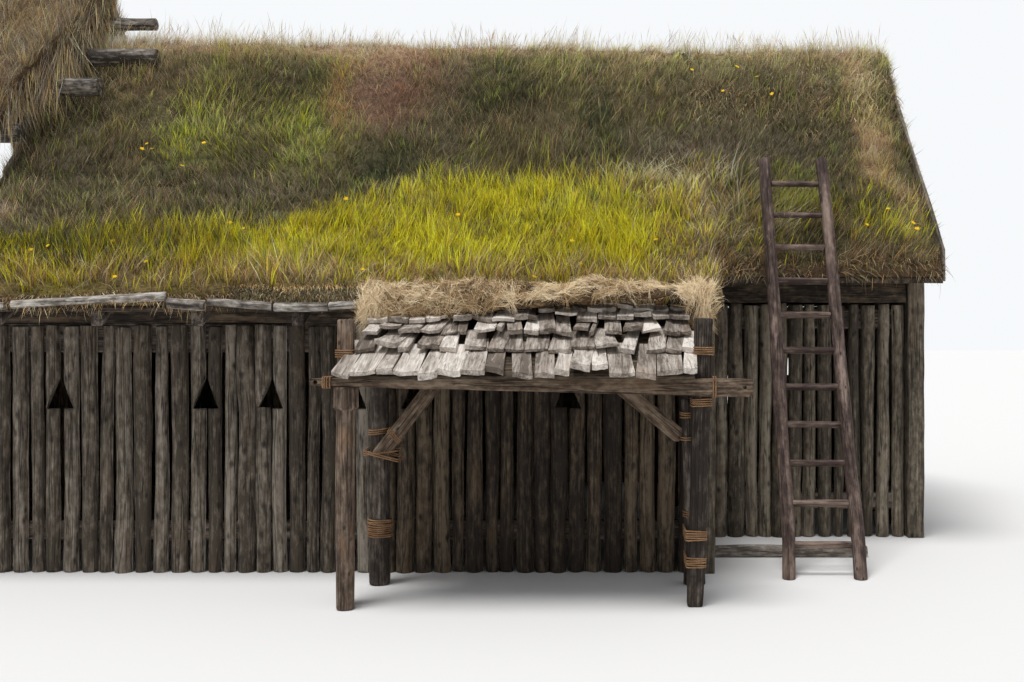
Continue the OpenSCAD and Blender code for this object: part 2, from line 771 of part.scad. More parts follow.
module porch_beam() {
    top = porch_beam_z + porch_beam_h;
    color(brown_beam) in_frame() difference() {
        along_y(porch_beam_front, porch_beam_back)
            polygon([[beam_left, beam_low(beam_left)], [beam_right - 30, beam_low(beam_right)],
                [beam_right, beam_low(beam_right) + 30], [beam_right, top - 10], [beam_right - 190, top],
                [beam_left, top]]);
        for (x = [beam_left + 40, beam_right - 54])
            translate([x, porch_beam_front - 5, (beam_low(x) + top) / 2]) rotate([-90, 0, 0])
                cylinder(h = porch_beam_w + 10, d = 26, $fn = 32);
    }
}

prop_h = beam_low(left_prop_x + prop_head_d / 2) - seat;
prop_head_h = 150;
module porch_front_posts() {
    color(dark_log) in_frame() {
        translate([left_prop_x, porch_beam_mid, 0]) {
            cylinder(h = prop_h, d1 = prop_d - 14, d2 = prop_d, $fn = 32);
            translate([0, 0, prop_h - prop_head_h]) cylinder(h = prop_head_h, d = prop_head_d, $fn = 10);
        }
        block([left_timber_x, left_timber_y, 0],
            [left_timber_x + timber_w, left_timber_y + timber_d, front_timber_top]);
        along_y(porch_beam_back + seat, porch_beam_back + right_post_deep)
            polygon([[right_post_l(0), 0], [right_post_r(0), 0], [right_post_r(right_post_h), right_post_h],
                [right_post_l(right_post_h), right_post_h]]);
        difference() {
            translate([slim_foot_x, slim_y, 0]) rotate([0, -slim_lean, 0]) translate([0, 0, -slim_d])
                cylinder(h = slim_h + slim_d, d = slim_d, $fn = 32);
            translate([slim_foot_x, slim_y, -slim_d])
                cube([3 * slim_d, 3 * slim_d, 2 * slim_d], center = true);
        }
    }
}

rear_post_d = 165;
rear_post_y = -330;
rear_left_x = -porch_left + 45;
rear_right_x = -porch_right + 72;
rear_beam_front = rear_post_y - 88;
rear_beam_w = 118;
rear_beam_top = porch_z(rear_beam_front) - porch_rafter_v + porch_notch;
rear_beam_h = 120;
rear_post_h = rear_beam_top - rear_beam_h - seat;
rear_post_taper = 36;
function rear_d(z) = rear_post_d - rear_post_taper * z / rear_post_h;

module porch_rear_frame() {
    color(dark_log) in_frame() {
        for (x = [rear_left_x, rear_right_x])
            translate([x, rear_post_y, 0])
                cylinder(h = rear_post_h, d1 = rear_post_d, d2 = rear_d(rear_post_h), $fn = 32);
        block([-porch_left - 70, rear_beam_front, rear_beam_top - rear_beam_h],
            [-porch_right + 130, rear_beam_front + rear_beam_w, rear_beam_top]);
    }
}

brace_w = 112;
brace_t = 58;
brace_foot_z = rear_post_h * 0.55;

// A board brace from a rear post up to the rear beam, with a level top and a foot cut square to its length;
// side is 1 to the right, -1 to the left
module brace(x, z, angle, side) {
    top = rear_beam_top - 70;
    run = (top - z) / tan(angle);
    half = brace_w / 2 / sin(angle);
    foot_x = brace_w / 2 * sin(angle);
    foot_z = brace_w / 2 * cos(angle);
    nip = 0.25;             // share of the foot's width that is cut off at its corners
    cut_x = nip * brace_w * cos(angle);
    cut_z = nip * brace_w * sin(angle);
    translate([x, 0, 0]) along_y(rear_beam_front - seat - brace_t, rear_beam_front - seat)
        polygon([[(-foot_x + cut_x) * side, z + foot_z + cut_z],
            [-foot_x * (1 - 2 * nip) * side, z + foot_z * (1 - 2 * nip)],
            [foot_x * (1 - 2 * nip) * side, z - foot_z * (1 - 2 * nip)],
            [(foot_x + cut_x) * side, z - foot_z + cut_z], [(half + run) * side, top],
            [(-half + run) * side, top]]);
}

module porch_braces() {
    color(pale_wood) in_frame() {
        brace(rear_left_x + 3, brace_foot_z, 52.5, 1);
        brace(rear_right_x - 105, rear_post_h * 0.635, 40, -1);
    }
}

porch_rafters_n = 6;
porch_rafter_w = 54;

module porch_rafter_outline() {
    a = porch_beam_front + 10;
    b = porch_back;
    difference() {
        polygon([[a, porch_z(a) - porch_rafter_v], [b, porch_z(b) - porch_rafter_v],
            [b, porch_z(b) - seat], [a, porch_z(a) - seat]]);
        translate([porch_beam_front - 2 * seat, porch_beam_z])
            square([porch_beam_w + 4 * seat, porch_beam_h + seat]);
        translate([rear_beam_front - 2 * seat, rear_beam_top - rear_beam_h])
            square([rear_beam_w + 4 * seat, rear_beam_h + seat]);
    }
}

module porch_rafters() {
    span = porch_left - porch_right - porch_rafter_w - 40;
    color(dark_log) in_frame()
        for (i = [0 : porch_rafters_n - 1])
            let (x = -porch_left + 20 + i * span / (porch_rafters_n - 1))
                along_x(x, x + porch_rafter_w) porch_rafter_outline();
}

module porch_boards() {
    color(brown_beam) in_frame() along_x(-porch_left, -porch_right)
        polygon([[porch_front + 15, porch_z(porch_front + 15)], [porch_back, porch_z(porch_back)],
            [porch_back, porch_z(porch_back) + porch_board_v - seat],
            [porch_front + 15, porch_z(porch_front + 15) + porch_board_v - seat]]);
}

shingle_thin = 12;

// Courses of shingles: each is thick at its lower edge and thin under the next one, and the first ones
// are the longest
function course_y(i) = porch_front + (porch_back - porch_front) * pow(i / courses, 0.8);
module porch_shingles() {
    color(pale_wood) in_frame() difference() {
        for (i = [0 : courses - 1]) {
            a = course_y(i);
            b = course_y(i + 1) - 1;
            edge = i == 0 ? porch_left + 100 : porch_left;
            along_x(-edge, -porch_right)
                polygon([[a, porch_z(a) + porch_board_v], [b, porch_z(b) + porch_board_v],
                    [b, porch_z(b) + porch_board_v + shingle_thin],
                    [a, porch_z(a) + porch_board_v + shingle_t]]);
        }
        block([-porch_left - 110, left_timber_y - rope_d - 2 * seat, porch_beam_z],
            [left_timber_x + timber_w + rope_d + 2 * seat, 0, front_timber_top]);
    }
}

hay_half_h = 138;
hay_half_d = 117;
hay_sides = 20;

// Roll of hay along the head of the porch, against the turf's edge
module porch_hay() {
    y = aisle_eave_y - seat - hay_half_d;
    z = max(aisle_z(aisle_eave_y) + 60, porch_z(y) + porch_board_v + shingle_t + hay_half_h - 4);
    color(hay_colour) in_frame() along_x(-porch_left - 30, -porch_right + 170)
        polygon([for (i = [0 : hay_sides - 1]) let (t = 360 * i / hay_sides)
            [y + hay_half_d * cos(t), z + hay_half_h * sin(t)]]);
}

// Outline of one turn of rope round a box from corner a to corner b
module rope_outline(a, b) {
    bend = rope_d + 3;
    difference() {
        polygon([for (q = [0 : 3], i = [0 : 6]) let (t = 90 * q + 15 * i,
            x = q == 0 || q == 3 ? b[0] + rope_d - bend : a[0] - rope_d + bend,
            y = q < 2 ? b[1] + rope_d - bend : a[1] - rope_d + bend)
                [x + bend * cos(t), y + bend * sin(t)]]);
        translate(a) square(b - a);
    }
}

// Turns of rope round an upright box, from height z upwards
module rope_box(a, b, z, turns) {
    for (i = [0 : turns - 1]) translate([0, 0, z + i * (rope_d + seat)])
        linear_extrude(height = rope_d) rope_outline(a - [seat, seat], b + [seat, seat]);
}

// Turns of rope round a log of diameter d, from height z upwards
module rope_rings(x, y, d, z, turns) {
    for (i = [0 : turns - 1]) translate([x, y, z + (i + 0.5) * (rope_d + seat)])
        rotate_extrude($fn = 48) translate([d / 2 + seat + rope_d / 2, 0]) circle(d = rope_d, $fn = 24);
}

// Turns of rope round the front beam, from x onwards
module rope_beam(x, turns) {
    for (i = [0 : turns - 1]) let (a = x + i * (rope_d + seat))
        along_x(a, a + rope_d) rope_outline([porch_beam_front - seat, beam_low(a + rope_d) - seat],
            [porch_beam_back + seat, porch_beam_z + porch_beam_h + seat]);
}

// Bands of rope: height as a share of what they are tied under, and number of turns
post_bands = [[0.185, 5], [0.313, 5]];
slim_bands = [[0.405, 3], [0.777, 2], [0.885, 3]];
rear_bands = [[0.205, 9], [0.645, 3]];

// Turns of rope round the right post, and round the slim pole too where both is true
module rope_post(z, turns, both) {
    for (i = [0 : turns - 1]) {
        low = z + i * (rope_d + seat);
        high = low + rope_d;
        left = right_post_l(low);
        right = right_post_r(high);
        rope_box([both ? min(left, slim_x(high) - slim_d / 2) : left, porch_beam_back + seat],
            [both ? max(right, slim_x(low) + slim_d / 2) : right,
                both ? slim_y + slim_d / 2 : porch_beam_back + right_post_deep], low, 1);
    }
}

module rope_lashings() {
    timber_a = [left_timber_x, left_timber_y];
    brace_front = rear_beam_front - seat - brace_t;
    color(rope_colour) in_frame() {
        for (band = post_bands) rope_post(band[0] * porch_beam_z, band[1], true);
        rope_post(0.9486 * porch_beam_z, 4, false);
        rope_post(front_timber_top - 248, 4, false);
        rope_box(timber_a, timber_a + [timber_w, timber_d], front_timber_top - 270, 4);
        for (band = slim_bands, i = [0 : band[1] - 1]) let (z = band[0] * porch_beam_z + i * (rope_d + seat))
            rope_rings(slim_x(z + rope_d / 2), slim_y, slim_d, z, 1);
        for (band = rear_bands) let (z = band[0] * rear_post_h)
            rope_rings(rear_left_x, rear_post_y, rear_d(z), z, band[1]);
        rope_box([rear_left_x - rear_post_d / 2, brace_front],
            [rear_left_x + 150, rear_post_y + rear_post_d / 2], brace_foot_z + 2, 3);
        rope_beam(right_post_r(porch_beam_z + porch_beam_h + rope_d) + seat, 2);
        rope_beam(beam_left + 84, 4);
    }
}

// Ladder: the rails bear on the turf's lip and stand on the ground
ladder_x = right_len * 0.405; // middle of the ladder, from the step corner
lip_z = main_z(eave_y) + deck_v + 0.6 * turf_t;
lip_run = eave_y + ladder_foot;
ladder_angle = atan2(lip_z, lip_run) + asin((ladder_rail_d / 2 + seat) / norm([lip_run, lip_z]));
rail_lean = 0.4;            // how far the rails lean sideways, in degrees
rail_draw = 0.22;           // how far each rail leans towards the other, in degrees

module ladder_space() {
    translate([ladder_x, -ladder_foot, 0]) rotate([ladder_angle - 90, 0, 0]) rotate([0, rail_lean, 0])
        children();
}

module rail_pair(d) {
    for (s = [-1, 1]) translate([s * ladder_w / 2, 0, 0]) rotate([0, -s * rail_draw, 0])
        translate([0, 0, -ladder_rail_d]) cylinder(h = ladder_len + ladder_rail_d, d = d, $fn = 32);
}

module ladder_rails() {
    color(ladder_brown) in_frame() difference() {
        ladder_space() rail_pair(ladder_rail_d);
        translate([ladder_x, -ladder_foot, -ladder_rail_d])
            cube([2 * ladder_w, 2 * ladder_w, 2 * ladder_rail_d], center = true);
    }
}

rung_first = ladder_len * 0.070;
rung_last = ladder_len * 0.932;
module ladder_rungs() {
    rung_step = (rung_last - rung_first) / (ladder_rungs_n - 1);
    color(ladder_brown) in_frame() ladder_space() difference() {
        for (i = [0 : ladder_rungs_n - 1])
            translate([-ladder_w / 2, 0, rung_first + i * rung_step]) rotate([0, 90, 0])
                cylinder(h = ladder_w, d = ladder_rung_d, $fn = 32);
        rail_pair(ladder_rail_d + 2 * seat);
    }
}

// Passage bay: a higher roof on purlin logs, open below
passage_left = -front_len - passage_len;
passage_right = -front_len - verge_over + passage_lap;
passage_eave_y = eave_y + 0.347 * (ridge_y - eave_y);
passage_skew = 430;         // how far the passage roof's edge draws back from the ridge to the eave
ridge_log_d = 130;
frame_w = 150;
frame_x = passage_left + 60;

// Purlins of one slope: place on the slope and how far each reaches past the passage's edge
function purlin_place(share) = ridge_y - share * (ridge_y - passage_eave_y);
purlin_runs = [[purlin_place(0.283), 3.4 * purlin_d], [purlin_place(0.546), 1.1 * purlin_d],
    [purlin_place(0.914), -1.7 * purlin_d]];

// The passage deck's height over the house deck, found by letting the purlins down onto the house turf
function segment_gap(p, a, b) = let (t = max(0, min(1, (p - a) * (b - a) / ((b - a) * (b - a)))))
    norm(p - a - t * (b - a));
function curve_gap(p, v) = min([for (i = [1 : len(v) - 1]) segment_gap(p, v[i - 1], v[i])]);
turf_curves = [slope_curve(eave_y + turf_lip, ridge_y - seat / 2),
    slope_curve(knee_y + seat, ridge_y - seat / 2)];
function purlin_gap(lift) = min([for (p = purlin_runs) for (v = turf_curves)
        curve_gap([p[0], main_z(p[0]) + lift - seat - purlin_d / 2 / cos(main_pitch)], v) - purlin_d / 2]);
function settle(lift, n) = n == 0 ? lift
    : settle(lift - (purlin_gap(lift) - seat) / cos(main_pitch), n - 1);
passage_lift = settle(2.8 * purlin_d, 8);
function passage_z(y) = main_z(y) + passage_lift;
purlin_v = (purlin_d + 2 * seat) / cos(main_pitch);
function frame_top(y) = passage_z(y) - purlin_v;

module purlin(y, reach, d) {
    z = passage_z(y) - seat - d / 2 / cos(main_pitch);
    translate([passage_left + 20, y, z]) rotate([0, 90, 0])
        cylinder(h = passage_right + reach - passage_left - 20, d = d, $fn = 32);
}

module passage_purlins() {
    color(birch) in_frame() {
        for (p = purlin_runs) {
            purlin(p[0], p[1], purlin_d);
            mirror_back() purlin(p[0], min(p[1], 1.1 * purlin_d), purlin_d);
        }
        purlin(ridge_y, 2.5 * purlin_d, ridge_log_d);
    }
}

function frame_low(y) = frame_top(y) - rafter_v;
post_foot_y = passage_eave_y + 120;

// Posts and rafters that carry the purlins at the passage's outer end
module passage_frame() {
    post_half = frame_w / 2;
    color(brown_beam) in_frame() {
        for (side = [0, 1]) {
            if (side == 0) passage_half_frame();
            else mirror_back() passage_half_frame();
        }
        block([frame_x, ridge_y - post_half, 0],
            [frame_x + frame_w, ridge_y + post_half,
                passage_z(ridge_y) - seat - ridge_log_d / 2 / cos(main_pitch) - ridge_log_d / 2 - seat]);
    }
}

module passage_half_frame() {
    inner = ridge_y - frame_w / 2 - seat;
    along_x(frame_x + 10, frame_x + frame_w - 10)
        polygon([[passage_eave_y + 60, frame_low(passage_eave_y + 60)], [inner, frame_low(inner)],
            [inner, frame_top(inner)], [passage_eave_y + 60, frame_top(passage_eave_y + 60)]]);
    along_x(frame_x, frame_x + frame_w)
        polygon([[post_foot_y, 0], [post_foot_y + frame_w, 0],
            [post_foot_y + frame_w, frame_low(post_foot_y + frame_w) - seat],
            [post_foot_y, frame_low(post_foot_y) - seat]]);
}

// Keeps what lies within the passage roof's plan, whose edge over the house runs askew
module passage_plan() {
    intersection() {
        children();
        linear_extrude(height = 3 * passage_z(ridge_y))
            polygon([[passage_left, passage_eave_y], [passage_right - passage_skew, passage_eave_y],
                [passage_right, ridge_y], [passage_left, ridge_y]]);
    }
}

module passage_boards() {
    a = passage_eave_y;
    passage_plan() along_x(passage_left, passage_right)
        polygon([[a, passage_z(a)], [ridge_y - seat / 2, passage_z(ridge_y)],
            [ridge_y - seat / 2, passage_z(ridge_y) + deck_v - seat], [a, passage_z(a) + deck_v - seat]]);
}

module passage_deck() {
    color(brown_beam) in_frame() {
        passage_boards();
        mirror_back() passage_boards();
    }
}

module passage_slope_turf() {
    a = passage_eave_y;
    b = ridge_y - seat / 2;
    t = passage_turf_t;
    base = deck_v;
    passage_plan() along_x(passage_left, passage_right)
        polygon(concat([[b, passage_z(b) + base], [a, passage_z(a) + base],
            [a, passage_z(a) + base + 0.7 * t]],
            [for (i = [1 : turf_steps]) let (u = i / turf_steps, y = a + (b - a) * u)
                [y, passage_z(y) + base + t * (1 + 0.25 * u * u)
                    - 1.6 * ridge_soft * pow(max(0, (u - 0.85) / 0.15), 2)]]));
}

module passage_turf() {
    color(turf_brown) in_frame() {
        passage_slope_turf();
        mirror_back() passage_slope_turf();
    }
}

box_left = passage_left;
box_right = roof_right + verge_t;
box_front = porch_front;
box_back = 2 * ridge_y - eave_y;

front_wall_left();
front_wall_middle();
front_wall_right();
return_wall();
right_gable_wall();
left_gable_wall();
back_wall_left();
back_wall_right();
door_frame();
corner_posts();
front_rails();
other_rails();
top_planks();
wall_plates();
arcade_beam();
inner_posts();
ridge_beam();
main_rafters_front();
main_rafters_back();
aisle_rafters();
deck_front();
deck_back();
deck_aisle();
turf_front();
turf_right();
turf_back();
turf_aisle();
verge_boards();
eave_poles();
sill_log();
porch_beam();
porch_front_posts();
porch_rear_frame();
porch_braces();
porch_rafters();
porch_boards();
porch_shingles();
porch_hay();
rope_lashings();
ladder_rails();
ladder_rungs();
passage_frame();
passage_purlins();
passage_deck();
passage_turf();
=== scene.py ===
import json
import math

import bpy
import numpy as np
from mathutils import Matrix, Vector
from mathutils.bvhtree import BVHTree

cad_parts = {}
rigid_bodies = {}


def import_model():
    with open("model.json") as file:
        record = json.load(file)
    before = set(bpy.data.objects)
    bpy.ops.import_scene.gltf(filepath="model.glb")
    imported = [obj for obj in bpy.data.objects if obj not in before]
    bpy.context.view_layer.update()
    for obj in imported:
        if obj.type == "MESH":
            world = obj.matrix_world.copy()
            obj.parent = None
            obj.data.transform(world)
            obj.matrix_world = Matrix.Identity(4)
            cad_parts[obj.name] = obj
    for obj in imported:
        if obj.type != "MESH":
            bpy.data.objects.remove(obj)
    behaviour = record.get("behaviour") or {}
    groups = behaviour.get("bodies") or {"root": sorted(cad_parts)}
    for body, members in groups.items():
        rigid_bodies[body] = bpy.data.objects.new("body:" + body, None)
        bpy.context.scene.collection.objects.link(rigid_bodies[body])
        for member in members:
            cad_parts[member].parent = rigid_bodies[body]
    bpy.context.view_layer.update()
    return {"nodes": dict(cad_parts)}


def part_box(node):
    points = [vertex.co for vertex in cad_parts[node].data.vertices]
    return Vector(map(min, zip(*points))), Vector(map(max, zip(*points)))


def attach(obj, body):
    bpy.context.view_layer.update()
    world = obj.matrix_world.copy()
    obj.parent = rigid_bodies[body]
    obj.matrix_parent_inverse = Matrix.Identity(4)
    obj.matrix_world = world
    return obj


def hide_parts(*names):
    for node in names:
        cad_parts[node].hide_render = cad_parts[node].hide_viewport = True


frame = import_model()
house = {"x": 2.785, "y": -2.145, "ridge": 3.32}  # its own origin in the shared frame; y of its ridge
print("frame loaded:", len(frame["nodes"]), "nodes")


# Camera and light
view = {"place": (1.885, -11.125, 2.0), "lens": 40.43, "sensor": 36, "shift": (-0.0859, -0.0225), "far": 200,
        "focal": 1150, "centre": (600, 318)}  # in pixels: the lens, and the point straight ahead of the eye
light = {"floor": (0.86, 0.85, 0.83), "floorSize": 120, "sky": (0.93, 0.95, 1.0), "skyStrength": 0.46,
         "backdrop": (0.93, 0.95, 0.97), "sun": 2.3, "sunSoftness": 24, "tilt": 17, "turn": -38}


def setCamera():
    bpy.ops.object.camera_add(location=view["place"], rotation=(math.radians(90), 0, 0))
    camera = bpy.context.object
    camera.data.lens = view["lens"]
    camera.data.sensor_width = view["sensor"]
    camera.data.shift_x, camera.data.shift_y = view["shift"]
    camera.data.clip_end = view["far"]
    bpy.context.scene.camera = camera


setCamera()
bpy.context.scene.view_settings.view_transform = "Standard"


# Shader maths
class Wire:
    def __init__(self, tree, socket=None):
        self.tree = tree
        self.socket = socket

    def add(self, kind, settings=None, sockets=None, out=0):
        node = self.tree.nodes.new("ShaderNode" + kind)
        for name, value in (settings or {}).items():
            if name == "stops":
                band = node.color_ramp
                while len(band.elements) < len(value):
                    band.elements.new(0.5)
                for element, (place, colour) in zip(band.elements, value):
                    element.position = place
                    element.color = (*colour, 1)
            else:
                setattr(node, name, value)
        for name, value in (sockets or {}).items():
            if isinstance(value, Wire):
                self.tree.links.new(value.socket, node.inputs[name])
            else:
                node.inputs[name].default_value = value
        return Wire(self.tree, node.outputs[out] if len(node.outputs) else None)

    def work(self, operation, a, b=0.0, clamp=False):
        return self.add("Math", {"operation": operation, "use_clamp": clamp}, {0: a, 1: b})

    def __add__(self, other):
        return self.work("ADD", self, other)

    __radd__ = __add__

    def __sub__(self, other):
        return self.work("SUBTRACT", self, other)

    def __rsub__(self, other):
        return self.work("SUBTRACT", other, self)

    def __mul__(self, other):
        return self.work("MULTIPLY", self, other)

    __rmul__ = __mul__

    def clip(self):
        return self.work("ADD", self, 0.0, True)

    def step(self, low, high):  # 0 below low, 1 above high
        return self.add("MapRange", {"interpolation_type": "SMOOTHSTEP"}, {0: self, 1: low, 2: high})

    def scaled(self, x, y, z):  # stretches a pattern's coordinates
        return self.add("VectorMath", {"operation": "MULTIPLY"}, {0: self, 1: (x, y, z)})

    def noise(self, scale, detail=3.0, rough=0.55):
        return self.add("TexNoise", {}, {"Vector": self, "Scale": scale, "Detail": detail,
                                         "Roughness": rough})

    def ramp(self, *stops):
        return self.add("ValToRGB", {"stops": stops}, {"Fac": self})

    def blend(self, other, share):  # self where share is 0, the other colour where it is 1
        other = other if isinstance(other, Wire) else (*other, 1)
        return self.add("Mix", {"data_type": "RGBA"}, {0: share, 6: self, 7: other}, 2)

    def onObject(self):
        return self.add("TexCoord", out="Object")

    def attribute(self, name, out):
        return self.add("Attribute", {"attribute_name": name}, out=out)


def newMaterial(name):
    material = bpy.data.materials.new(name)
    material.use_nodes = True
    tree = material.node_tree
    tree.nodes.clear()
    return material, Wire(tree)


def finishMaterial(material, wire, colour, rough, height, strength, distance):
    bump = wire.add("Bump", {}, {"Strength": strength, "Distance": distance, "Height": height})
    shader = wire.add("BsdfPrincipled", {}, {"Base Color": colour, "Roughness": rough, "Normal": bump,
                                             "Specular IOR Level": 0.25})
    wire.add("OutputMaterial", {}, {"Surface": shader})
    return material


# Wood
commonWood = {"crack": 0.024, "knot": 0.15, "spots": 0.9}
woodLooks = {
    "greyLog": {"dark": (0.060, 0.047, 0.034), "mid": (0.155, 0.128, 0.098), "pale": (0.31, 0.270, 0.22),
                "stain": (0.12, 0.080, 0.050), "gap": (0.014, 0.010, 0.008), "spread": 0.75, "knot": 0.27},
    "shadeLog": {"dark": (0.024, 0.017, 0.012), "mid": (0.076, 0.055, 0.037), "pale": (0.175, 0.135, 0.09),
                 "stain": (0.105, 0.066, 0.034), "gap": (0.009, 0.006, 0.005), "spread": 0.75, "knot": 0.26},
    "oliveLog": {"dark": (0.065, 0.052, 0.038), "mid": (0.160, 0.132, 0.096), "pale": (0.31, 0.265, 0.20),
                 "stain": (0.13, 0.085, 0.050), "gap": (0.013, 0.010, 0.007), "spread": 0.7, "knot": 0.25},
    "beam": {"dark": (0.070, 0.046, 0.030), "mid": (0.190, 0.135, 0.092), "pale": (0.35, 0.275, 0.20),
             "stain": (0.15, 0.092, 0.052), "gap": (0.015, 0.010, 0.007), "spread": 0.6},
    "post": {"dark": (0.026, 0.019, 0.014), "mid": (0.080, 0.062, 0.050), "pale": (0.22, 0.185, 0.155),
             "stain": (0.080, 0.050, 0.030), "gap": (0.008, 0.006, 0.005), "spread": 0.5, "crack": 0.030},
    "prop": {"dark": (0.055, 0.036, 0.025), "mid": (0.130, 0.092, 0.066), "pale": (0.27, 0.20, 0.15),
             "stain": (0.30, 0.150, 0.060), "gap": (0.015, 0.010, 0.007), "spread": 0.1},
    "silver": {"dark": (0.13, 0.108, 0.087), "mid": (0.32, 0.28, 0.24), "pale": (0.60, 0.55, 0.49),
               "stain": (0.22, 0.165, 0.12), "gap": (0.035, 0.027, 0.021), "spread": 0.6, "knot": 0.11},
    "shake": {"dark": (0.14, 0.112, 0.088), "mid": (0.46, 0.402, 0.345), "pale": (0.86, 0.79, 0.71),
              "stain": (0.32, 0.225, 0.155), "gap": (0.10, 0.072, 0.055), "spread": 0.7, "crack": 0.007,
              "knot": 0.06, "spots": 0.3},
    "birch": {"dark": (0.045, 0.036, 0.028), "mid": (0.24, 0.212, 0.180), "pale": (0.66, 0.62, 0.56),
              "stain": (0.14, 0.10, 0.07), "gap": (0.022, 0.016, 0.012), "spread": 0.7, "crack": 0.022},
    "pole": {"dark": (0.045, 0.028, 0.023), "mid": (0.115, 0.078, 0.064), "pale": (0.27, 0.205, 0.172),
             "stain": (0.34, 0.25, 0.19), "gap": (0.015, 0.010, 0.008), "spread": 0.5, "crack": 0.018,
             "knot": 0.12},
}


def oldWood(name, look):
    # the grain runs along z of the grain attribute, which also holds a shift of its own for each timber
    material, wire = newMaterial(name)
    grain = wire.attribute("grain", "Vector")
    tone = wire.attribute("tone", "Fac")
    fibre = grain.scaled(70, 70, 2.2).noise(1.0, 4.0, 0.6)
    streak = grain.scaled(16, 16, 0.9).noise(1.0, 3.0, 0.5)
    patch = grain.scaled(5, 5, 1.6).noise(1.0, 3.0, 0.6)
    line = grain.scaled(24, 24, 0.8).noise(1.0, 2.0, 0.45)
    crack = 1 - wire.work("ABSOLUTE", line - 0.5).step(0.0, look["crack"])
    mottle = grain.scaled(26, 26, 10).noise(1.0, 4.0, 0.65)
    knot = wire.add("TexVoronoi", {"feature": "F1"}, {
        "Vector": grain.scaled(10, 10, 5.5), "Scale": 1.0, "Randomness": 1.0})
    eye = 1 - knot.step(0.03, look["knot"])
    mixed = streak * 0.5 + fibre * 0.5 + patch * 0.5 + (mottle - 0.5) * look["spots"] - 0.75
    bright = (mixed * 1.75 + 0.5 + (tone - 0.5) * look["spread"]).clip()
    colour = bright.ramp((0.18, look["dark"]), (0.5, look["mid"]), (0.86, look["pale"]))
    colour = colour.blend(look["stain"], patch.step(0.52, 0.72) * 0.5)
    colour = colour.blend(look["gap"], crack * 0.75)
    colour = colour.blend(look["gap"], eye * 0.85)
    height = fibre * 0.35 + streak * 0.4 + mottle * 0.5 - crack * 0.9 + eye * 0.5
    return finishMaterial(material, wire, colour, fibre * 0.2 + 0.68, height, 0.9, 0.006)


woods = {name: oldWood(name, {**commonWood, **look}) for name, look in woodLooks.items()}
print("wood materials made")


# Noise in numpy
def lattice(cell, seed):  # a fixed random number from -1 to 1 for each whole-number cell
    n = (cell[..., 0] * 374761393 + cell[..., 1] * 668265263 + cell[..., 2] * 2147483647 + seed * 974634777)
    n = n & 0xFFFFFFFF
    n = ((n ^ (n >> 13)) * 1274126177) & 0xFFFFFFFF
    return ((n ^ (n >> 16)) & 0xFFFF) / 32767.5 - 1


def lot(n, a, b, seed):  # the same from 0 to 1, for timber n
    return 0.5 + 0.5 * lattice(np.array([n, a, b]), seed)


def lump(points, seed=0):  # smooth noise from -1 to 1
    low = np.floor(points).astype(np.int64)
    t = points - low
    t = t * t * (3 - 2 * t)
    total = 0
    for corner in np.ndindex(2, 2, 2):
        share = np.prod([t[..., k] if corner[k] else 1 - t[..., k] for k in range(3)], axis=0)
        total = total + share * lattice(low + np.array(corner), seed)
    return total


def lump3(points, seed=0):
    return np.stack([lump(points, seed + k) for k in range(3)], axis=-1)


# Meshes
edit = {"merge": 0.00005, "sharp": 38, "nudge": 0.0007}  # the nudge keeps a cut off the solids' own corners


def readVectors(layer, key):
    flat = np.empty(len(layer) * 3, np.float32)
    layer.foreach_get(key, flat)
    return flat.reshape(-1, 3).astype(float)


def readPoints(mesh):
    return readVectors(mesh.vertices, "co")


def readNormals(mesh):
    return readVectors(mesh.vertex_normals, "vector")


def movePoints(mesh, points):
    mesh.vertices.foreach_set("co", points.astype(np.float32).ravel())
    mesh.update()


def setAttribute(mesh, name, values):
    kind = "FLOAT_VECTOR" if values.ndim == 2 else "FLOAT"
    layer = mesh.attributes.new(name, kind, "POINT")
    layer.data.foreach_set("vector" if values.ndim == 2 else "value", values.astype(np.float32).ravel())


def solidNumbers(mesh):  # the number of the solid that each vertex belongs to
    edges = np.empty(len(mesh.edges) * 2, np.int32)
    mesh.edges.foreach_get("vertices", edges)
    edges = edges.reshape(-1, 2)
    label = np.arange(len(mesh.vertices))
    while True:
        low = np.minimum(label[edges[:, 0]], label[edges[:, 1]])
        before = label.copy()
        np.minimum.at(label, edges[:, 0], low)
        np.minimum.at(label, edges[:, 1], low)
        label = label[label]
        if (label == before).all():
            return np.unique(label, return_inverse=True)[1]


def longAxis(points):
    centred = points - points.mean(0)
    spread = np.linalg.svd(centred[:: max(1, len(centred) // 400)], full_matrices=False)[2][0]
    return spread * (1 if spread[np.argmax(np.abs(spread))] > 0 else -1)


def deselectAll():
    bpy.ops.object.select_all(action="DESELECT")


def newPiece(name, mesh):
    piece = bpy.data.objects.new(name, mesh)
    bpy.context.collection.objects.link(piece)
    return piece


def copyNode(node, name):
    deselectAll()
    piece = newPiece(name, frame["nodes"][node].data.copy())
    piece.data.materials.clear()
    bpy.context.view_layer.objects.active = piece
    piece.select_set(True)
    return piece


def joinPieces(name, pieces):
    deselectAll()
    for piece in pieces:
        piece.select_set(True)
    bpy.context.view_layer.objects.active = pieces[0]
    bpy.ops.object.join()
    pieces[0].name = name
    return pieces[0]


def mergePoints(reach=edit["merge"]):
    bpy.ops.mesh.select_all(action="SELECT")
    bpy.ops.mesh.remove_doubles(threshold=reach)


def editSolids():  # opens a node's copy for editing, its loose triangles merged to solids
    bpy.ops.object.mode_set(mode="EDIT")
    bpy.ops.mesh.select_mode(type="VERT")
    mergePoints()


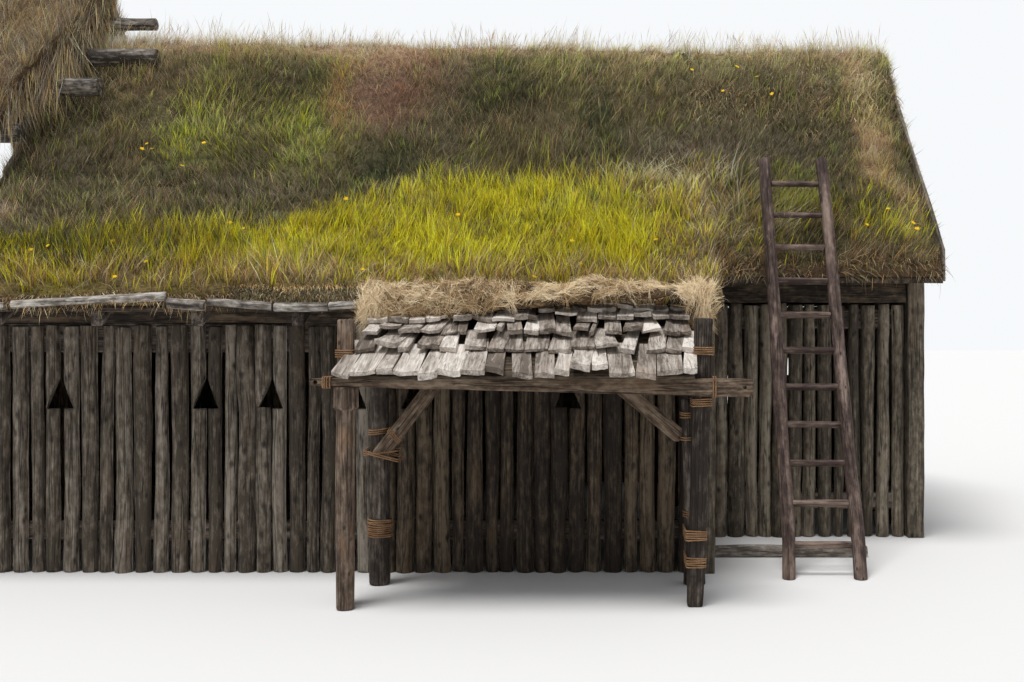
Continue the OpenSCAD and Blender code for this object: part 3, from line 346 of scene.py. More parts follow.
def roundEdges(flat, width, segments):  # first joins faces that meet flatter than an angle
    bpy.ops.mesh.dissolve_limited(angle_limit=math.radians(flat))
    bpy.ops.mesh.select_all(action="DESELECT")
    bpy.ops.mesh.select_mode(type="EDGE")
    bpy.ops.mesh.edges_select_sharp(sharpness=math.radians(edit["sharp"]))
    bpy.ops.mesh.bevel(offset=width, segments=segments, clamp_overlap=True)
    bpy.ops.mesh.select_mode(type="VERT")


def cutAt(axis, places):
    across = [float(axis == name) for name in "xyz"]
    for place in places:
        bpy.ops.mesh.select_all(action="SELECT")
        bpy.ops.mesh.bisect(plane_co=[place * share for share in across], plane_no=across)


def cutEvenly(node, lengths):  # lengths: for each axis, the most that a stretch between cuts may be long
    low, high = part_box(node)
    for axis, length in lengths.items():
        k = "xyz".index(axis)
        start, span = low[k], high[k] - low[k]
        count = int(span / length)
        cutAt(axis, [start + i * span / (count + 1) + edit["nudge"] for i in range(1, count + 1)])


def closeEdit(reach):
    mergePoints(reach)
    bpy.ops.object.mode_set(mode="OBJECT")


# Timbers
wear = {"merge": 0.0002, "smooth": 40, "sway": 1.6, "coarse": 1.2, "tightReach": 0.11, "tightSwell": 0.009}
logWalls = {"front_wall_left": "greyLog", "front_wall_middle": "shadeLog", "front_wall_right": "oliveLog",
            "return_wall": "oliveLog", "right_gable_wall": "greyLog", "left_gable_wall": "greyLog",
            "back_wall_left": "greyLog", "back_wall_right": "greyLog"}
logLook = {"bevel": 0.004, "bend": 0.012, "rough": 0.0070, "fine": 0.065}
# the front logs have shrunk and let light through, but those at these x of the shared frame stand tight
frontLogs = {"length": 0.06, "flat": 0.8, "swell": (-0.009, -0.002),
             "tight": (-0.81, 0.20, 0.49, 1.50, 2.86, 3.02, 3.46, 3.63)}
otherLogs = {"length": 0.30, "flat": 8, "swell": (0.008, 0.011), "tight": ()}
# each timber's wood, the lengths it is cut into, the width of its bevel, its bend and its roughness
rail = ("post", {"x": 0.4, "y": 0.4}, 0.008, 0.0, 0.003)
rafter = ("post", {"y": 0.3}, 0.005, 0.0, 0.003)
deck = ("shadeLog", {"x": 0.18}, 0.003, 0.0, 0.002)
timbers = {
    "corner_posts": ("oliveLog", {"z": 0.08}, 0.008, 0.004, 0.004),
    "door_frame": ("beam", {"z": 0.12, "x": 0.2}, 0.008, 0.003, 0.003),
    "top_planks": ("shadeLog", {"x": 0.12}, 0.006, 0.004, 0.003),
    "wall_plates": ("shadeLog", {"x": 0.25}, 0.008, 0.003, 0.004),
    "porch_beam": ("beam", {"x": 0.06}, 0.012, 0.004, 0.004),
    "porch_front_posts": ("post", {"z": 0.05}, 0.010, 0.004, 0.004),
    "porch_rear_frame": ("post", {"z": 0.08, "x": 0.15}, 0.008, 0.004, 0.004),
    "porch_braces": ("beam", {"x": 0.05}, 0.006, 0.003, 0.003),
    "eave_poles": ("birch", {"x": 0.08}, 0.004, 0.010, 0.003),
    "sill_log": ("silver", {"x": 0.05}, 0.010, 0.008, 0.004),
    "passage_purlins": ("birch", {"x": 0.08}, 0.010, 0.006, 0.005),
    "passage_frame": ("beam", {"z": 0.15, "y": 0.2}, 0.010, 0.004, 0.004),
    "verge_boards": ("greyLog", {"y": 0.08}, 0.004, 0.004, 0.003),
    "ladder_rails": ("pole", {"z": 0.09}, 0.006, 0.012, 0.004),
    "ladder_rungs": ("pole", {"x": 0.08}, 0.003, 0.004, 0.003),
    "front_rails": rail, "other_rails": rail, "arcade_beam": rail, "ridge_beam": rail,
    "inner_posts": ("beam", {"z": 0.4}, 0.006, 0.004, 0.004),
    "main_rafters_front": rafter, "main_rafters_back": rafter, "aisle_rafters": rafter,
    "porch_rafters": rafter, "deck_front": deck, "deck_back": deck, "deck_aisle": deck,
    "porch_boards": deck, "passage_deck": deck,
}
# brightness of the darkest timber of a node, and how much more the palest has; the others: 0 and 1
# the top planks are kept dark as painted shade under the eave poles; the eave poles are kept pale, partly the
# birch bark's own colour and partly painted light
timberTones = {"top_planks": (0.0, 0.5), "eave_poles": (0.40, 0.50), "passage_purlins": (0.15, 0.3),
               "ladder_rungs": (0.0, 0.5)}
leftPost = {"wood": "prop", "right": 1.4}  # the porch's left post, up to this x, is browner and lighter


def weather(node, wood, lengths, bevel, bend, rough, fine=0.06, flat=0.8, swell=(0.0, 0.0), tight=()):
    # a worn copy of a node: edges rounded, cut into lengths, then bent and roughened timber by timber
    piece = copyNode(node, node + "_worn")
    editSolids()
    roundEdges(flat, bevel, 1)
    cutEvenly(node, lengths)
    closeEdit(wear["merge"])
    mesh = piece.data
    points, normals = readPoints(mesh), readNormals(mesh)
    solid = solidNumbers(mesh)
    dim, more = timberTones.get(node, (0.0, 1.0))
    grain, tone, moved = np.zeros_like(points), np.zeros(len(points)), points.copy()
    for n in range(solid.max() + 1):
        own = solid == n
        p, normal = points[own], normals[own]
        axis = longAxis(p)
        side = np.cross(axis, (0.0, 1.0, 0.0) if abs(axis[1]) < 0.8 else (1.0, 0.0, 0.0))
        side /= np.linalg.norm(side)
        third = np.cross(axis, side)
        shift = np.array([n * 3.7 + 1.3, n * 1.9, n * 5.3])
        local = np.stack([(p - p.mean(0)) @ side, (p - p.mean(0)) @ third, p @ axis], axis=-1) + shift
        grain[own] = local
        tone[own] = dim + more * lot(n, 7, 3, 11)
        thicker = swell[0] + (swell[1] - swell[0]) * lot(n, 5, 1, 17)
        if any(abs(p[:, 0].mean() - place) < wear["tightReach"] for place in tight):
            thicker = wear["tightSwell"]
        along = local * (0.0, 0.0, wear["sway"]) + shift
        sway = lump(along, 5)[:, None] * side + lump(along, 9)[:, None] * third
        grit = lump(local * (1 / fine, 1 / fine, 0.35 / fine), 21)[:, None] * normal
        coarse = lump(local * (0.3 / fine, 0.3 / fine, 0.12 / fine), 25)[:, None] * normal
        moved[own] = p + bend * sway + rough * grit + wear["coarse"] * rough * coarse + thicker * normal
    moved[:, 2] = np.maximum(moved[:, 2], np.minimum(points[:, 2], 0.0))  # feet stay on the ground
    movePoints(mesh, moved)
    setAttribute(mesh, "grain", grain)
    setAttribute(mesh, "tone", tone)
    mesh.materials.append(woods[wood])
    bpy.ops.object.shade_smooth_by_angle(angle=math.radians(wear["smooth"]))
    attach(piece, "root")
    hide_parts(node)
    return piece


def buildLogWalls():
    for node, wood in logWalls.items():
        look = frontLogs if node.startswith("front") else otherLogs
        weather(node, wood, {"z": look["length"]}, logLook["bevel"], logLook["bend"], logLook["rough"],
                logLook["fine"], look["flat"], look["swell"], look["tight"])
    print("log walls done")


def buildTimbers():
    for node, looks in timbers.items():
        piece = weather(node, *looks)
        if node == "porch_front_posts":
            piece.data.materials.append(woods[leftPost["wood"]])
            for face in piece.data.polygons:
                face.material_index = int(face.center.x < leftPost["right"])
    print("timbers done")


buildLogWalls()
buildTimbers()


# Turf
turfLook = {"lengths": {"x": 0.085, "y": 0.085, "z": 0.35}, "edge": 0.035, "mound": 0.034, "grit": 0.012,
            "flat": 0.5, "merge": 0.0005, "smooth": 60, "earth": (0.030, 0.019, 0.011),
            "moss": (0.085, 0.070, 0.02), "fibre": (0.17, 0.105, 0.055), "shade": (0.02, 0.016, 0.008)}
# kinds of blade: colour low down and at the tip, height, lean, curl and width; the colour low down is darker,
# partly the blade's own colour and partly painted shade
kinds = {
    "lawn": ((0.50, 0.43, 0.018), (0.93, 0.80, 0.040), 0.165, 0.26, 0.30, 0.0080),
    "fresh": ((0.17, 0.19, 0.050), (0.44, 0.48, 0.120), 0.150, 0.30, 0.35, 0.0075),
    "olive": ((0.12, 0.108, 0.052), (0.30, 0.265, 0.135), 0.135, 0.50, 0.50, 0.0055),
    "dark": ((0.030, 0.036, 0.016), (0.115, 0.130, 0.060), 0.120, 0.50, 0.50, 0.0065),
    "rust": ((0.18, 0.105, 0.074), (0.40, 0.235, 0.165), 0.110, 0.60, 0.55, 0.0038),
    "tan": ((0.22, 0.145, 0.072), (0.62, 0.43, 0.225), 0.155, 0.45, 0.60, 0.0045),
    "gold": ((0.26, 0.135, 0.042), (0.72, 0.42, 0.145), 0.175, 0.30, 0.45, 0.0045),
    "straw": ((0.33, 0.27, 0.135), (0.88, 0.76, 0.44), 0.190, 0.55, 0.95, 0.0050),
    "brown": ((0.105, 0.075, 0.048), (0.27, 0.200, 0.130), 0.120, 0.60, 0.60, 0.0048),
    "grey": ((0.13, 0.105, 0.080), (0.33, 0.270, 0.200), 0.130, 0.75, 0.85, 0.0042),
    "moss": ((0.045, 0.030, 0.014), (0.13, 0.098, 0.040), 0.070, 0.80, 0.60, 0.0070),
}
lowColours = np.array([kind[0] for kind in kinds.values()])
tipColours = np.array([kind[1] for kind in kinds.values()])
kindShapes = np.array([kind[2:] for kind in kinds.values()])
mixes = {
    "slope": {"olive": 0.40, "brown": 0.22, "tan": 0.13, "dark": 0.17, "fresh": 0.08},
    "lawn": {"lawn": 0.66, "fresh": 0.12, "tan": 0.08, "gold": 0.04, "olive": 0.07, "dark": 0.03},
    "thin lawn": {"lawn": 0.26, "fresh": 0.22, "olive": 0.18, "tan": 0.16, "dark": 0.18},
    "dry foot": {"tan": 0.38, "gold": 0.14, "lawn": 0.20, "straw": 0.12, "brown": 0.16},
    "ridge": {"tan": 0.40, "rust": 0.34, "brown": 0.10, "grey": 0.16},
    "passage": {"tan": 0.24, "gold": 0.05, "brown": 0.20, "grey": 0.36, "straw": 0.05, "olive": 0.10},
    "green": {"fresh": 0.44, "lawn": 0.07, "dark": 0.19, "olive": 0.22, "tan": 0.08},
    "deep": {"dark": 0.70, "olive": 0.20, "fresh": 0.10},
    "rusty": {"rust": 0.78, "tan": 0.12, "brown": 0.10},
    "streak": {"gold": 0.40, "tan": 0.40, "olive": 0.20},
    "green right": {"olive": 0.52, "fresh": 0.18, "tan": 0.14, "dark": 0.16},
    "faded": {"olive": 0.42, "grey": 0.26, "tan": 0.20, "brown": 0.12},
    "dull": {"grey": 0.34, "brown": 0.34, "olive": 0.20, "dark": 0.12},
    "strawy": {"straw": 0.48, "tan": 0.24, "grey": 0.22, "lawn": 0.06},
    "verge": {"gold": 0.16, "tan": 0.44, "rust": 0.28, "grey": 0.12},
    "eave": {"moss": 0.34, "brown": 0.26, "tan": 0.18, "gold": 0.08, "olive": 0.14},
    "peat": {"moss": 0.62, "brown": 0.24, "olive": 0.14},
    "fringe": {"tan": 0.36, "gold": 0.20, "straw": 0.22, "brown": 0.22},
    "stalk": {"tan": 0.34, "brown": 0.40, "grey": 0.26},
}
# the strip of the low eave where the peat lies bare, in the shared frame
peat = {"middle": -0.4, "half": 0.5, "edge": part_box("turf_aisle")[0][1], "deep": 0.10}
# the rest is in the house's own x and y: a zone begins at a place and is full a length further on
zones = {"porch": (-0.7, 0.7), "left": (-3.6, -1.2), "footEnd": (0.3, -0.2), "ridge": (2.98, 0.25),
         "aisleFoot": (0.24, -0.35), "eave": (1.34, -0.26)}
borders = {"lawn": 0.42, "aisle": 0.03, "aisleTop": 0.8, "passage": -6.05, "passageRise": 1.68}
lawnEdge = ((-9.0, -5.05, -4.98, -3.6, -3.5, -2.5, 0.0, 2.2),
            (0.56, 0.56, 0.80, 0.84, 1.12, 1.82, 1.88, 1.75))
slopeLight = ((-0.4, 1.2, 1.7, 2.3, 2.8, 3.0, 3.2), (1.12, 1.16, 1.26, 1.36, 1.60, 2.2, 3.6))
aisleLight = ((-5.2, -4.0, -3.4, -2.6), (0.80, 0.95, 1.08, 1.0))
passageLight = 1.75
# soft patches of the front slope: x, y, half size along x and y, mix, strength, brightness
patches = [(-5.95, 2.06, 0.65, 0.90, "dull", 0.55, 0.95), (-4.49, 1.62, 0.85, 0.32, "dull", 0.85, 0.84),
           (-5.3, 3.0, 0.7, 0.28, "faded", 0.5, 0.9), (-2.98, 2.95, 0.92, 0.46, "rusty", 0.55, 1.15),
           (-3.06, 2.83, 0.42, 0.42, "rusty", 0.92, 1.15), (-2.35, 2.52, 0.28, 0.55, "dull", 0.6, 1.0),
           (-3.96, 2.79, 0.36, 0.22, "deep", 0.9, 0.65), (-4.83, 2.42, 0.50, 0.38, "green", 0.85, 1.05),
           (-3.76, 2.45, 0.46, 0.36, "green", 0.85, 1.10), (-3.45, 2.66, 0.15, 0.42, "streak", 0.75, 1.05),
           (-2.92, 1.98, 0.30, 0.34, "deep", 0.9, 0.78), (-1.88, 2.85, 0.27, 0.32, "deep", 0.75, 0.85),
           (-1.32, 2.90, 0.35, 0.33, "green right", 0.8, 1.0), (-0.8, 2.42, 0.25, 0.42, "deep", 0.85, 0.8),
           (0.27, 2.29, 1.0, 0.34, "dull", 0.85, 1.15), (0.24, 3.08, 0.66, 0.28, "green right", 0.8, 1.2),
           (1.47, 2.98, 0.55, 0.28, "faded", 0.8, 1.15), (1.1, 2.2, 0.5, 0.3, "dull", 0.6, 1.0),
           (0.97, 1.79, 0.28, 0.22, "green", 0.9, 1.05), (1.58, 1.46, 0.40, 0.20, "thin lawn", 0.8, 1.0),
           (-0.1, 1.81, 0.46, 0.20, "strawy", 0.95, 1.1), (0.42, 1.46, 0.30, 0.18, "strawy", 0.8, 0.95),
           (1.9, 2.30, 0.19, 0.85, "verge", 0.95, 2.0)]


def mixShares(mix):
    return np.array([mixes[mix].get(kind, 0.0) for kind in kinds])


def climb(value, start, length, shift=0.0):  # 0 at start, 1 a length further on
    return np.clip((value - (start + shift)) / length, 0, 1)


def ease(value):
    return value * value * (3 - 2 * value)


def byPeat(points, margin=0.0):  # as far along the eave as the bare peat
    return np.abs(points[:, 0] - peat["middle"]) < peat["half"] + margin


def isPeat(points):
    return byPeat(points) & (points[:, 1] < peat["edge"] + peat["deep"])


def mixAt(points):  # share of each kind of grass and its brightness at points in the shared frame
    x, y = points[:, 0] - house["x"], points[:, 1] - house["y"]
    back = y > house["ridge"]
    y = np.where(back, 2 * house["ridge"] - y, y)  # the back slope has the front's zones, without its patches
    share = np.tile(mixShares("slope"), (len(x), 1))
    bright = np.ones(len(x))

    def lay(weight, mix, shade):
        nonlocal share, bright
        share = share + (mixShares(mix) - share) * weight[:, None]
        bright = bright + (shade - bright) * weight

    wave = 0.10 * lump(points * 3.1, 33) + 0.07 * lump(points * 9.0, 34)
    lawn = ease(np.clip((np.interp(x, *lawnEdge) + wave - y) / borders["lawn"] + 0.5, 0, 1))
    porch = climb(x, *zones["porch"])
    lay(lawn * (1 - 0.93 * porch), "lawn", 1.0)
    lay(lawn * np.minimum(climb(x, *zones["left"]), 0.9), "thin lawn", 0.66)
    lay(lawn * porch * climb(x, *zones["footEnd"]) * 0.8, "dry foot", 1.0)
    wanderX, wanderY = x + 0.22 * lump(points * 1.5, 301), y + 0.14 * lump(points * 1.7, 305)
    for middleX, middleY, halfX, halfY, mix, strength, shade in patches:
        reach = ((wanderX - middleX) / halfX) ** 2 + ((wanderY - middleY) / halfY) ** 2
        lay(np.exp(-(reach ** 1.35)) * np.where(back, 0.0, strength), mix, shade)
    lay(ease(climb(y, *zones["ridge"])) * 0.96, "ridge", 1.3)
    aisle = x < borders["aisle"]
    lay(np.where(aisle, ease(climb(y, *zones["aisleFoot"], wave)), 0.0), "dry foot", 0.95)
    lay(np.where(aisle, 0.0, ease(climb(y, *zones["eave"], wave))), "eave", 1.15)
    lay(isPeat(points).astype(float), "peat", 0.95)
    passage = (x < borders["passage"]) & (points[:, 2] > borders["passageRise"] + y)
    lay(passage.astype(float), "passage", 1.0)
    bright = bright * np.where(passage, passageLight, np.interp(y, *slopeLight))  # lighter towards the ridge
    low = aisle & (y < borders["aisleTop"]) & ~passage
    bright = bright * np.where(low, np.interp(x, *aisleLight), 1.0)
    clump = np.stack([lump(points * (2.4 + 0.4 * k), 200 + 3 * k) for k in range(len(kinds))], axis=1)
    share = share * np.exp(1.15 * clump)
    cloud = 1 + 0.16 * lump(points * 1.9, 37) + 0.10 * lump(points * 6, 38)
    return share / share.sum(1, keepdims=True), bright * cloud


def turfMaterial():
    material, wire = newMaterial("turf")
    place = wire.onObject()
    paint = wire.attribute("paint", "Vector")
    upward = wire.add("SeparateXYZ", {}, {"Vector": wire.add("NewGeometry", out="Normal")}, "Z")
    rootlets = place.scaled(30, 30, 60).noise(1.0, 4.0, 0.65)
    clods = place.noise(9.0, 4.0, 0.6)
    earth = (rootlets * 0.6 + clods * 0.4).ramp((0.36, turfLook["earth"]), (0.64, turfLook["fibre"]))
    earth = earth.blend(turfLook["moss"], clods.step(0.50, 0.68) * 0.7)
    # the top of the bed: the grass's colours darkened, with darker specks, all painted shade between the
    # blades
    mattedInShade = paint.blend(turfLook["shade"], rootlets.step(0.65, 0.35) * 0.7)
    colour = earth.blend(mattedInShade, upward.step(0.30, 0.65))
    height = rootlets * 0.5 + clods * 0.8
    return finishMaterial(material, wire, colour, rootlets * 0.1 + 0.85, height, 1.0, 0.02)


def grassMaterial():
    material, wire = newMaterial("grass")
    paint = wire.attribute("paint", "Vector")
    fleck = wire.onObject().noise(90.0, 2.0, 0.5)
    colour = paint.blend((0.05, 0.035, 0.012), fleck.step(0.56, 0.72) * 0.45)
    return finishMaterial(material, wire, colour, fleck * 0.25 + 0.6, fleck, 0.3, 0.002)


turfPaint, grassPaint = turfMaterial(), grassMaterial()


def buildTurf(node):
    piece = copyNode(node, node + "_bed")
    editSolids()
    roundEdges(turfLook["flat"], turfLook["edge"], 2)
    cutEvenly(node, turfLook["lengths"])
    closeEdit(turfLook["merge"])
    mesh = piece.data
    points, normals = readPoints(mesh), readNormals(mesh)
    out = lump(points * 2.3, 41) * turfLook["mound"] + lump(points * 9, 43) * turfLook["grit"]
    out = np.where(normals[:, 2] < -0.2, 0.0, out)  # the underside lies flat on its boards
    movePoints(mesh, points + normals * out[:, None])
    share, bright = mixAt(points)
    # the bed's paint is the grass's colours darkened: painted shade between the blades
    setAttribute(mesh, "paint", share @ (lowColours * 0.55 + tipColours * 0.10) * bright[:, None])
    mesh.materials.append(turfPaint)
    bpy.ops.object.shade_smooth_by_angle(angle=math.radians(turfLook["smooth"]))
    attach(piece, "root")
    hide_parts(node)
    return piece


# Blades, stalks and strands
def unit(v):
    return v / np.maximum(np.linalg.norm(v, axis=1, keepdims=True), 1e-9)


def scatter(mesh, count, rng, where):  # even random points on the faces that where(normal, middle) picks
    mesh.calc_loop_triangles()
    corners = np.empty(len(mesh.loop_triangles) * 3, np.int32)
    mesh.loop_triangles.foreach_get("vertices", corners)
    p = readPoints(mesh)[corners.reshape(-1, 3)]
    cross = np.cross(p[:, 1] - p[:, 0], p[:, 2] - p[:, 0])
    area = np.linalg.norm(cross, axis=1) / 2
    normal = cross / np.maximum(area[:, None] * 2, 1e-12)
    keep = (area > 1e-8) & where(normal, p.mean(1))
    p, area, normal = p[keep], area[keep], normal[keep]
    pick = rng.choice(len(p), count, p=area / area.sum())
    a, b = rng.random(count), rng.random(count)
    flip = a + b > 1
    a[flip], b[flip] = 1 - a[flip], 1 - b[flip]
    root = p[pick, 0] + a[:, None] * (p[pick, 1] - p[pick, 0]) + b[:, None] * (p[pick, 2] - p[pick, 0])
    return root, normal[pick]


def ribbonMesh(name, rows, width, side, attributes, material):
    # rows: points along each ribbon (n, k, 3), as wide as width says; the last row is the tip, a point
    n, k = rows.shape[:2]
    each = 2 * k - 1
    points = np.empty((n, each, 3))
    pattern, starts, totals = [], [], []
    for i in range(k - 1):
        points[:, 2 * i] = rows[:, i] - side * width[:, i, None] / 2
        points[:, 2 * i + 1] = rows[:, i] + side * width[:, i, None] / 2
        face = [2 * i, 2 * i + 1, 2 * i + 3, 2 * i + 2] if i < k - 2 else [2 * i, 2 * i + 1, 2 * i + 2]
        starts.append(len(pattern))
        totals.append(len(face))
        pattern += face
    points[:, -1] = rows[:, -1]
    loops = (np.array(pattern)[None] + np.arange(n)[:, None] * each).ravel()
    start = (np.array(starts)[None] + np.arange(n)[:, None] * len(pattern)).ravel()
    mesh = bpy.data.meshes.new(name)
    mesh.vertices.add(n * each)
    mesh.vertices.foreach_set("co", points.astype(np.float32).ravel())
    mesh.loops.add(len(loops))
    mesh.loops.foreach_set("vertex_index", loops.astype(np.int32))
    mesh.polygons.add(len(start))
    mesh.polygons.foreach_set("loop_start", start.astype(np.int32))
    mesh.polygons.foreach_set("loop_total", np.tile(totals, n).astype(np.int32))
    mesh.update(calc_edges=True)
    rowOf = np.repeat(np.arange(k), [2] * (k - 1) + [1])
    for key, values in attributes.items():  # one value for each ribbon, or one for each of its rows
        perRow = values.ndim == 3
        spread = values[:, rowOf].reshape(n * each, -1) if perRow else np.repeat(values, each, axis=0)
        setAttribute(mesh, key, spread)
    mesh.materials.append(material)
    return newPiece(name, mesh)


# Grass
# the roots' darkness is painted shade low in the sward
tint = {"blade": 0.26, "colour": 0.05, "root": 0.40}  # how much blades differ, and how dark their roots are
bladeBox = ((-5.19, -3.62, 0.0), (5.19, 3.62, 5.755))  # no blade leaves the part's own box by much
bladeLook = {"sunk": 0.012, "alike": 0.55, "short": 0.50, "longer": 0.80, "narrow": 0.6, "wider": 0.7,
             "droop": 1.8, "top": 5.735}  # alike: the share of a tuft that is of one kind


def isTop(normal, middle):
    return normal[:, 2] > 0.35


def isFront(normal, middle):  # over an eave
    return normal[:, 1] < -0.80


def isRight(normal, middle):  # over a verge
    return normal[:, 0] > 0.45


def isRidge(normal, middle):  # the front slope's uppermost strip
    return isTop(normal, middle) & (middle[:, 1] > 0.98)


def paintRows(pick, bright, k, rng):  # colour of each row of each blade
    n = len(pick)
    shade = np.exp(rng.normal(0, tint["blade"], (n, 1)) + rng.normal(0, tint["colour"], (n, 3)))
    shade = shade * bright[:, None]
    low, tip = lowColours[pick] * shade, tipColours[pick] * shade
    t = np.linspace(0, 1, k)[None, :, None]
    colour = low[:, None] + (tip - low)[:, None] * t ** 0.7
    # darker towards the root: painted shade
    return np.clip(colour * (tint["root"] + (1 - tint["root"]) * np.minimum(t * 2.2, 1)), 0, 0.95)


def grow(name, bed, look, seed):
    # tufts of blades on a bed: each tuft's blades stand close together, lean apart and then droop
    rng = np.random.default_rng(seed)
    tufts = look["count"] // look["tuft"]
    root, normal = scatter(bed.data, tufts, rng, look["where"])
    root, normal = np.repeat(root, look["tuft"], axis=0), np.repeat(normal, look["tuft"], axis=0)
    n, k = len(root), look["rows"]
    turn = rng.random(n) * 2 * math.pi
    away = np.stack([np.cos(turn), np.sin(turn), np.zeros(n)], axis=1)
    away = unit(away - normal * np.sum(away * normal, axis=1, keepdims=True))
    root = root + away * (rng.random(n) ** 0.7 * look["spread"])[:, None] - normal * bladeLook["sunk"]
    share, bright = mixAt(root)
    bright = bright * look["shade"]
    if look["mix"]:
        share = np.tile(mixShares(look["mix"]), (n, 1))
    alike = rng.random(n) < bladeLook["alike"]
    chance = np.where(alike, np.repeat(rng.random(tufts), look["tuft"]), rng.random(n))
    pick = np.minimum((share.cumsum(1) < chance[:, None]).sum(1), len(kinds) - 1)
    tall, lean, curl, wide = kindShapes[pick].T
    if look["tall"]:
        tall = np.full(n, look["tall"])
    tall = tall * (bladeLook["short"] + bladeLook["longer"] * rng.random(n))
    tall = tall * (1 + 0.40 * lump(root * 3.1, 51))
    tall = np.minimum(tall, bladeLook["top"] - root[:, 2])
    stand = unit(normal * look["normal"] + np.array([0.0, 0.0, look["up"]]) + np.array(look["wind"])
                 + away * (lean * rng.random(n))[:, None] + lump3(root * 1.7, 61) * look["comb"])
    droop = unit(away * look["stray"] + np.array(look["fall"]) + lump3(root * 2.0, 71) * 0.5)
    bend = tall * (look["least"] + curl * look["curl"] * rng.random(n))
    t = np.linspace(0, 1, k)[None, :, None]
    rows = (root[:, None] + stand[:, None] * tall[:, None, None] * (t - look["slack"] * t * t)
            + droop[:, None] * bend[:, None, None] * t ** bladeLook["droop"])
    rows = np.clip(rows, *bladeBox)
    side = unit(np.cross(stand, away + rng.normal(0, 0.5, (n, 3))))
    wide = wide * (bladeLook["narrow"] + bladeLook["wider"] * rng.random(n))
    width = wide[:, None] * np.array(look["profile"])[None]
    piece = ribbonMesh(name, rows, width, side, {"paint": paintRows(pick, bright, k, rng)}, grassPaint)
    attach(piece, "root")
    return piece


# blades in a tuft and its spread; how far they follow the turf's normal, the upright, the wind and a noise;
# the way they droop, how much at least and by their curl; the rows of a blade and the width at each
front = {"tuft": 7, "spread": 0.04, "normal": 0.45, "up": 1.0, "wind": (0.14, -0.06, 0.0), "comb": 0.30,
         "fall": (0.2, -0.6, -0.4), "stray": 0.8, "least": 0.12, "curl": 1.0, "slack": 0.0, "rows": 3,
         "profile": (1.0, 0.8, 0.0), "shade": 1.0, "mix": None, "tall": None, "where": isTop}
hang = {**front, "tuft": 1, "spread": 0.02, "normal": 1.0, "up": 0.25, "wind": (0.0, 0.0, 0.0), "comb": 0.35,
        "fall": (0.0, 0.0, -1.0), "stray": 0.35, "least": 0.55, "curl": 0.6, "slack": 0.45, "rows": 4,
        "profile": (1.2, 1.0, 0.8, 0.0)}
stalk = {**front, "tuft": 1, "spread": 0.01, "normal": 0.15, "wind": (0.08, 0.0, 0.0), "comb": 0.18,
         "fall": (0.3, 0.0, -0.2), "stray": 0.6, "least": 0.05, "curl": 0.35, "rows": 5,
         "profile": (0.55, 0.5, 0.45, 1.0, 0.0), "mix": "stalk"}
ridge = {**front, "mix": "ridge", "wind": (0.1, 0.05, 0.0)}
crest = {**stalk, "tall": 0.26, "shade": 0.5, "where": isRidge}
grasses = {
    "turf_aisle": {
        "grass": {**front, "count": 48000, "spread": 0.035, "normal": 0.25, "comb": 0.22,
                  "wind": (0.05, -0.05, 0.0), "fall": (0.1, -0.3, -0.2),
                  "where": lambda v, p: isTop(v, p) & ~isPeat(p)},
        "fringe": {**hang, "count": 2600, "tall": 0.125, "mix": "fringe",
                   "where": lambda v, p: isFront(v, p) & ~byPeat(p)},
        "peat": {**hang, "count": 2300, "tall": 0.07, "mix": "peat", "shade": 1.1,
                 "where": lambda v, p: byPeat(p, 0.02) & (v[:, 2] > -0.3) & (p[:, 1] < peat["edge"] + 0.09)},
        "crust": {**hang, "count": 1100, "tall": 0.085, "mix": "streak", "up": 1.0, "shade": 1.3,
                  "where": lambda v, p: (isTop(v, p) & byPeat(p, 0.05)
                                         & (np.abs(p[:, 1] - peat["edge"] - peat["deep"]) < 0.03))},
        "stalks": {**stalk, "count": 330, "tall": 0.24}},
    "turf_front": {
        "grass": {**front, "count": 45000},
        "stalks": {**stalk, "count": 380, "tall": 0.22},
        "ridge": {**ridge, "count": 2100, "tall": 0.14, "shade": 0.8,
                  "where": lambda v, p: isTop(v, p) & (p[:, 1] > 1.06)},
        "gable": {**front, "count": 1800, "tall": 0.20, "normal": 0.3, "up": 1.4, "mix": "dull",
                  "where": lambda v, p: v[:, 0] < -0.6},
        "crest": {**crest, "count": 760}},
    "turf_right": {
        "grass": {**front, "count": 22500, "wind": (0.14, -0.04, 0.0)},
        "fringe": {**hang, "count": 2300, "tall": 0.15, "mix": "eave", "shade": 1.1, "where": isFront},
        "verge": {**hang, "count": 1500, "tall": 0.15, "mix": "verge", "where": isRight},
        "crest": {**crest, "count": 360}},
    "turf_back": {
        "grass": {**front, "count": 15500, "spread": 0.05, "wind": (0.10, 0.10, 0.0),
                  "fall": (0.2, 0.6, -0.4)},
        "fringe": {**hang, "count": 1300, "tall": 0.13, "mix": "fringe",
                   "where": lambda v, p: v[:, 1] > 0.80},
        "ridge": {**ridge, "count": 2800, "tall": 0.15, "shade": 0.7,
                  "where": lambda v, p: isTop(v, p) & (p[:, 1] < 1.32)},
        "crest": {**crest, "count": 600, "tall": 0.27, "shade": 0.45,
                  "where": lambda v, p: isTop(v, p) & (p[:, 1] < 1.40)}},
    "passage_turf": {
        "grass": {**front, "count": 14600, "tall": 0.19, "normal": 0.25, "up": 1.2, "comb": 0.25,
                  "fall": (0.2, -0.4, -0.5)},
        "side": {**front, "count": 3500, "tall": 0.26, "normal": 0.12, "up": 1.6, "curl": 0.4, "comb": 0.15,
                 "wind": (0.0, 0.0, 0.0), "where": lambda v, p: isRight(v, p) | isFront(v, p)},
        "curtain": {**hang, "count": 2200, "tall": 0.42, "normal": 0.35, "up": -0.9, "mix": "passage",
                    "shade": 0.9, "curl": 0.3, "least": 0.1, "slack": 0.1, "comb": 0.15, "where": isRight},
        "fringe": {**hang, "count": 700, "tall": 0.24, "mix": "passage", "where": isFront}},
}
beds = {}
for number, (node, growths) in enumerate(grasses.items()):
    beds[node] = buildTurf(node)
    for order, (growth, look) in enumerate(growths.items()):
        grow(node + "_" + growth, beds[node], look, 100 + 10 * number + order)
print("turf and grass done")


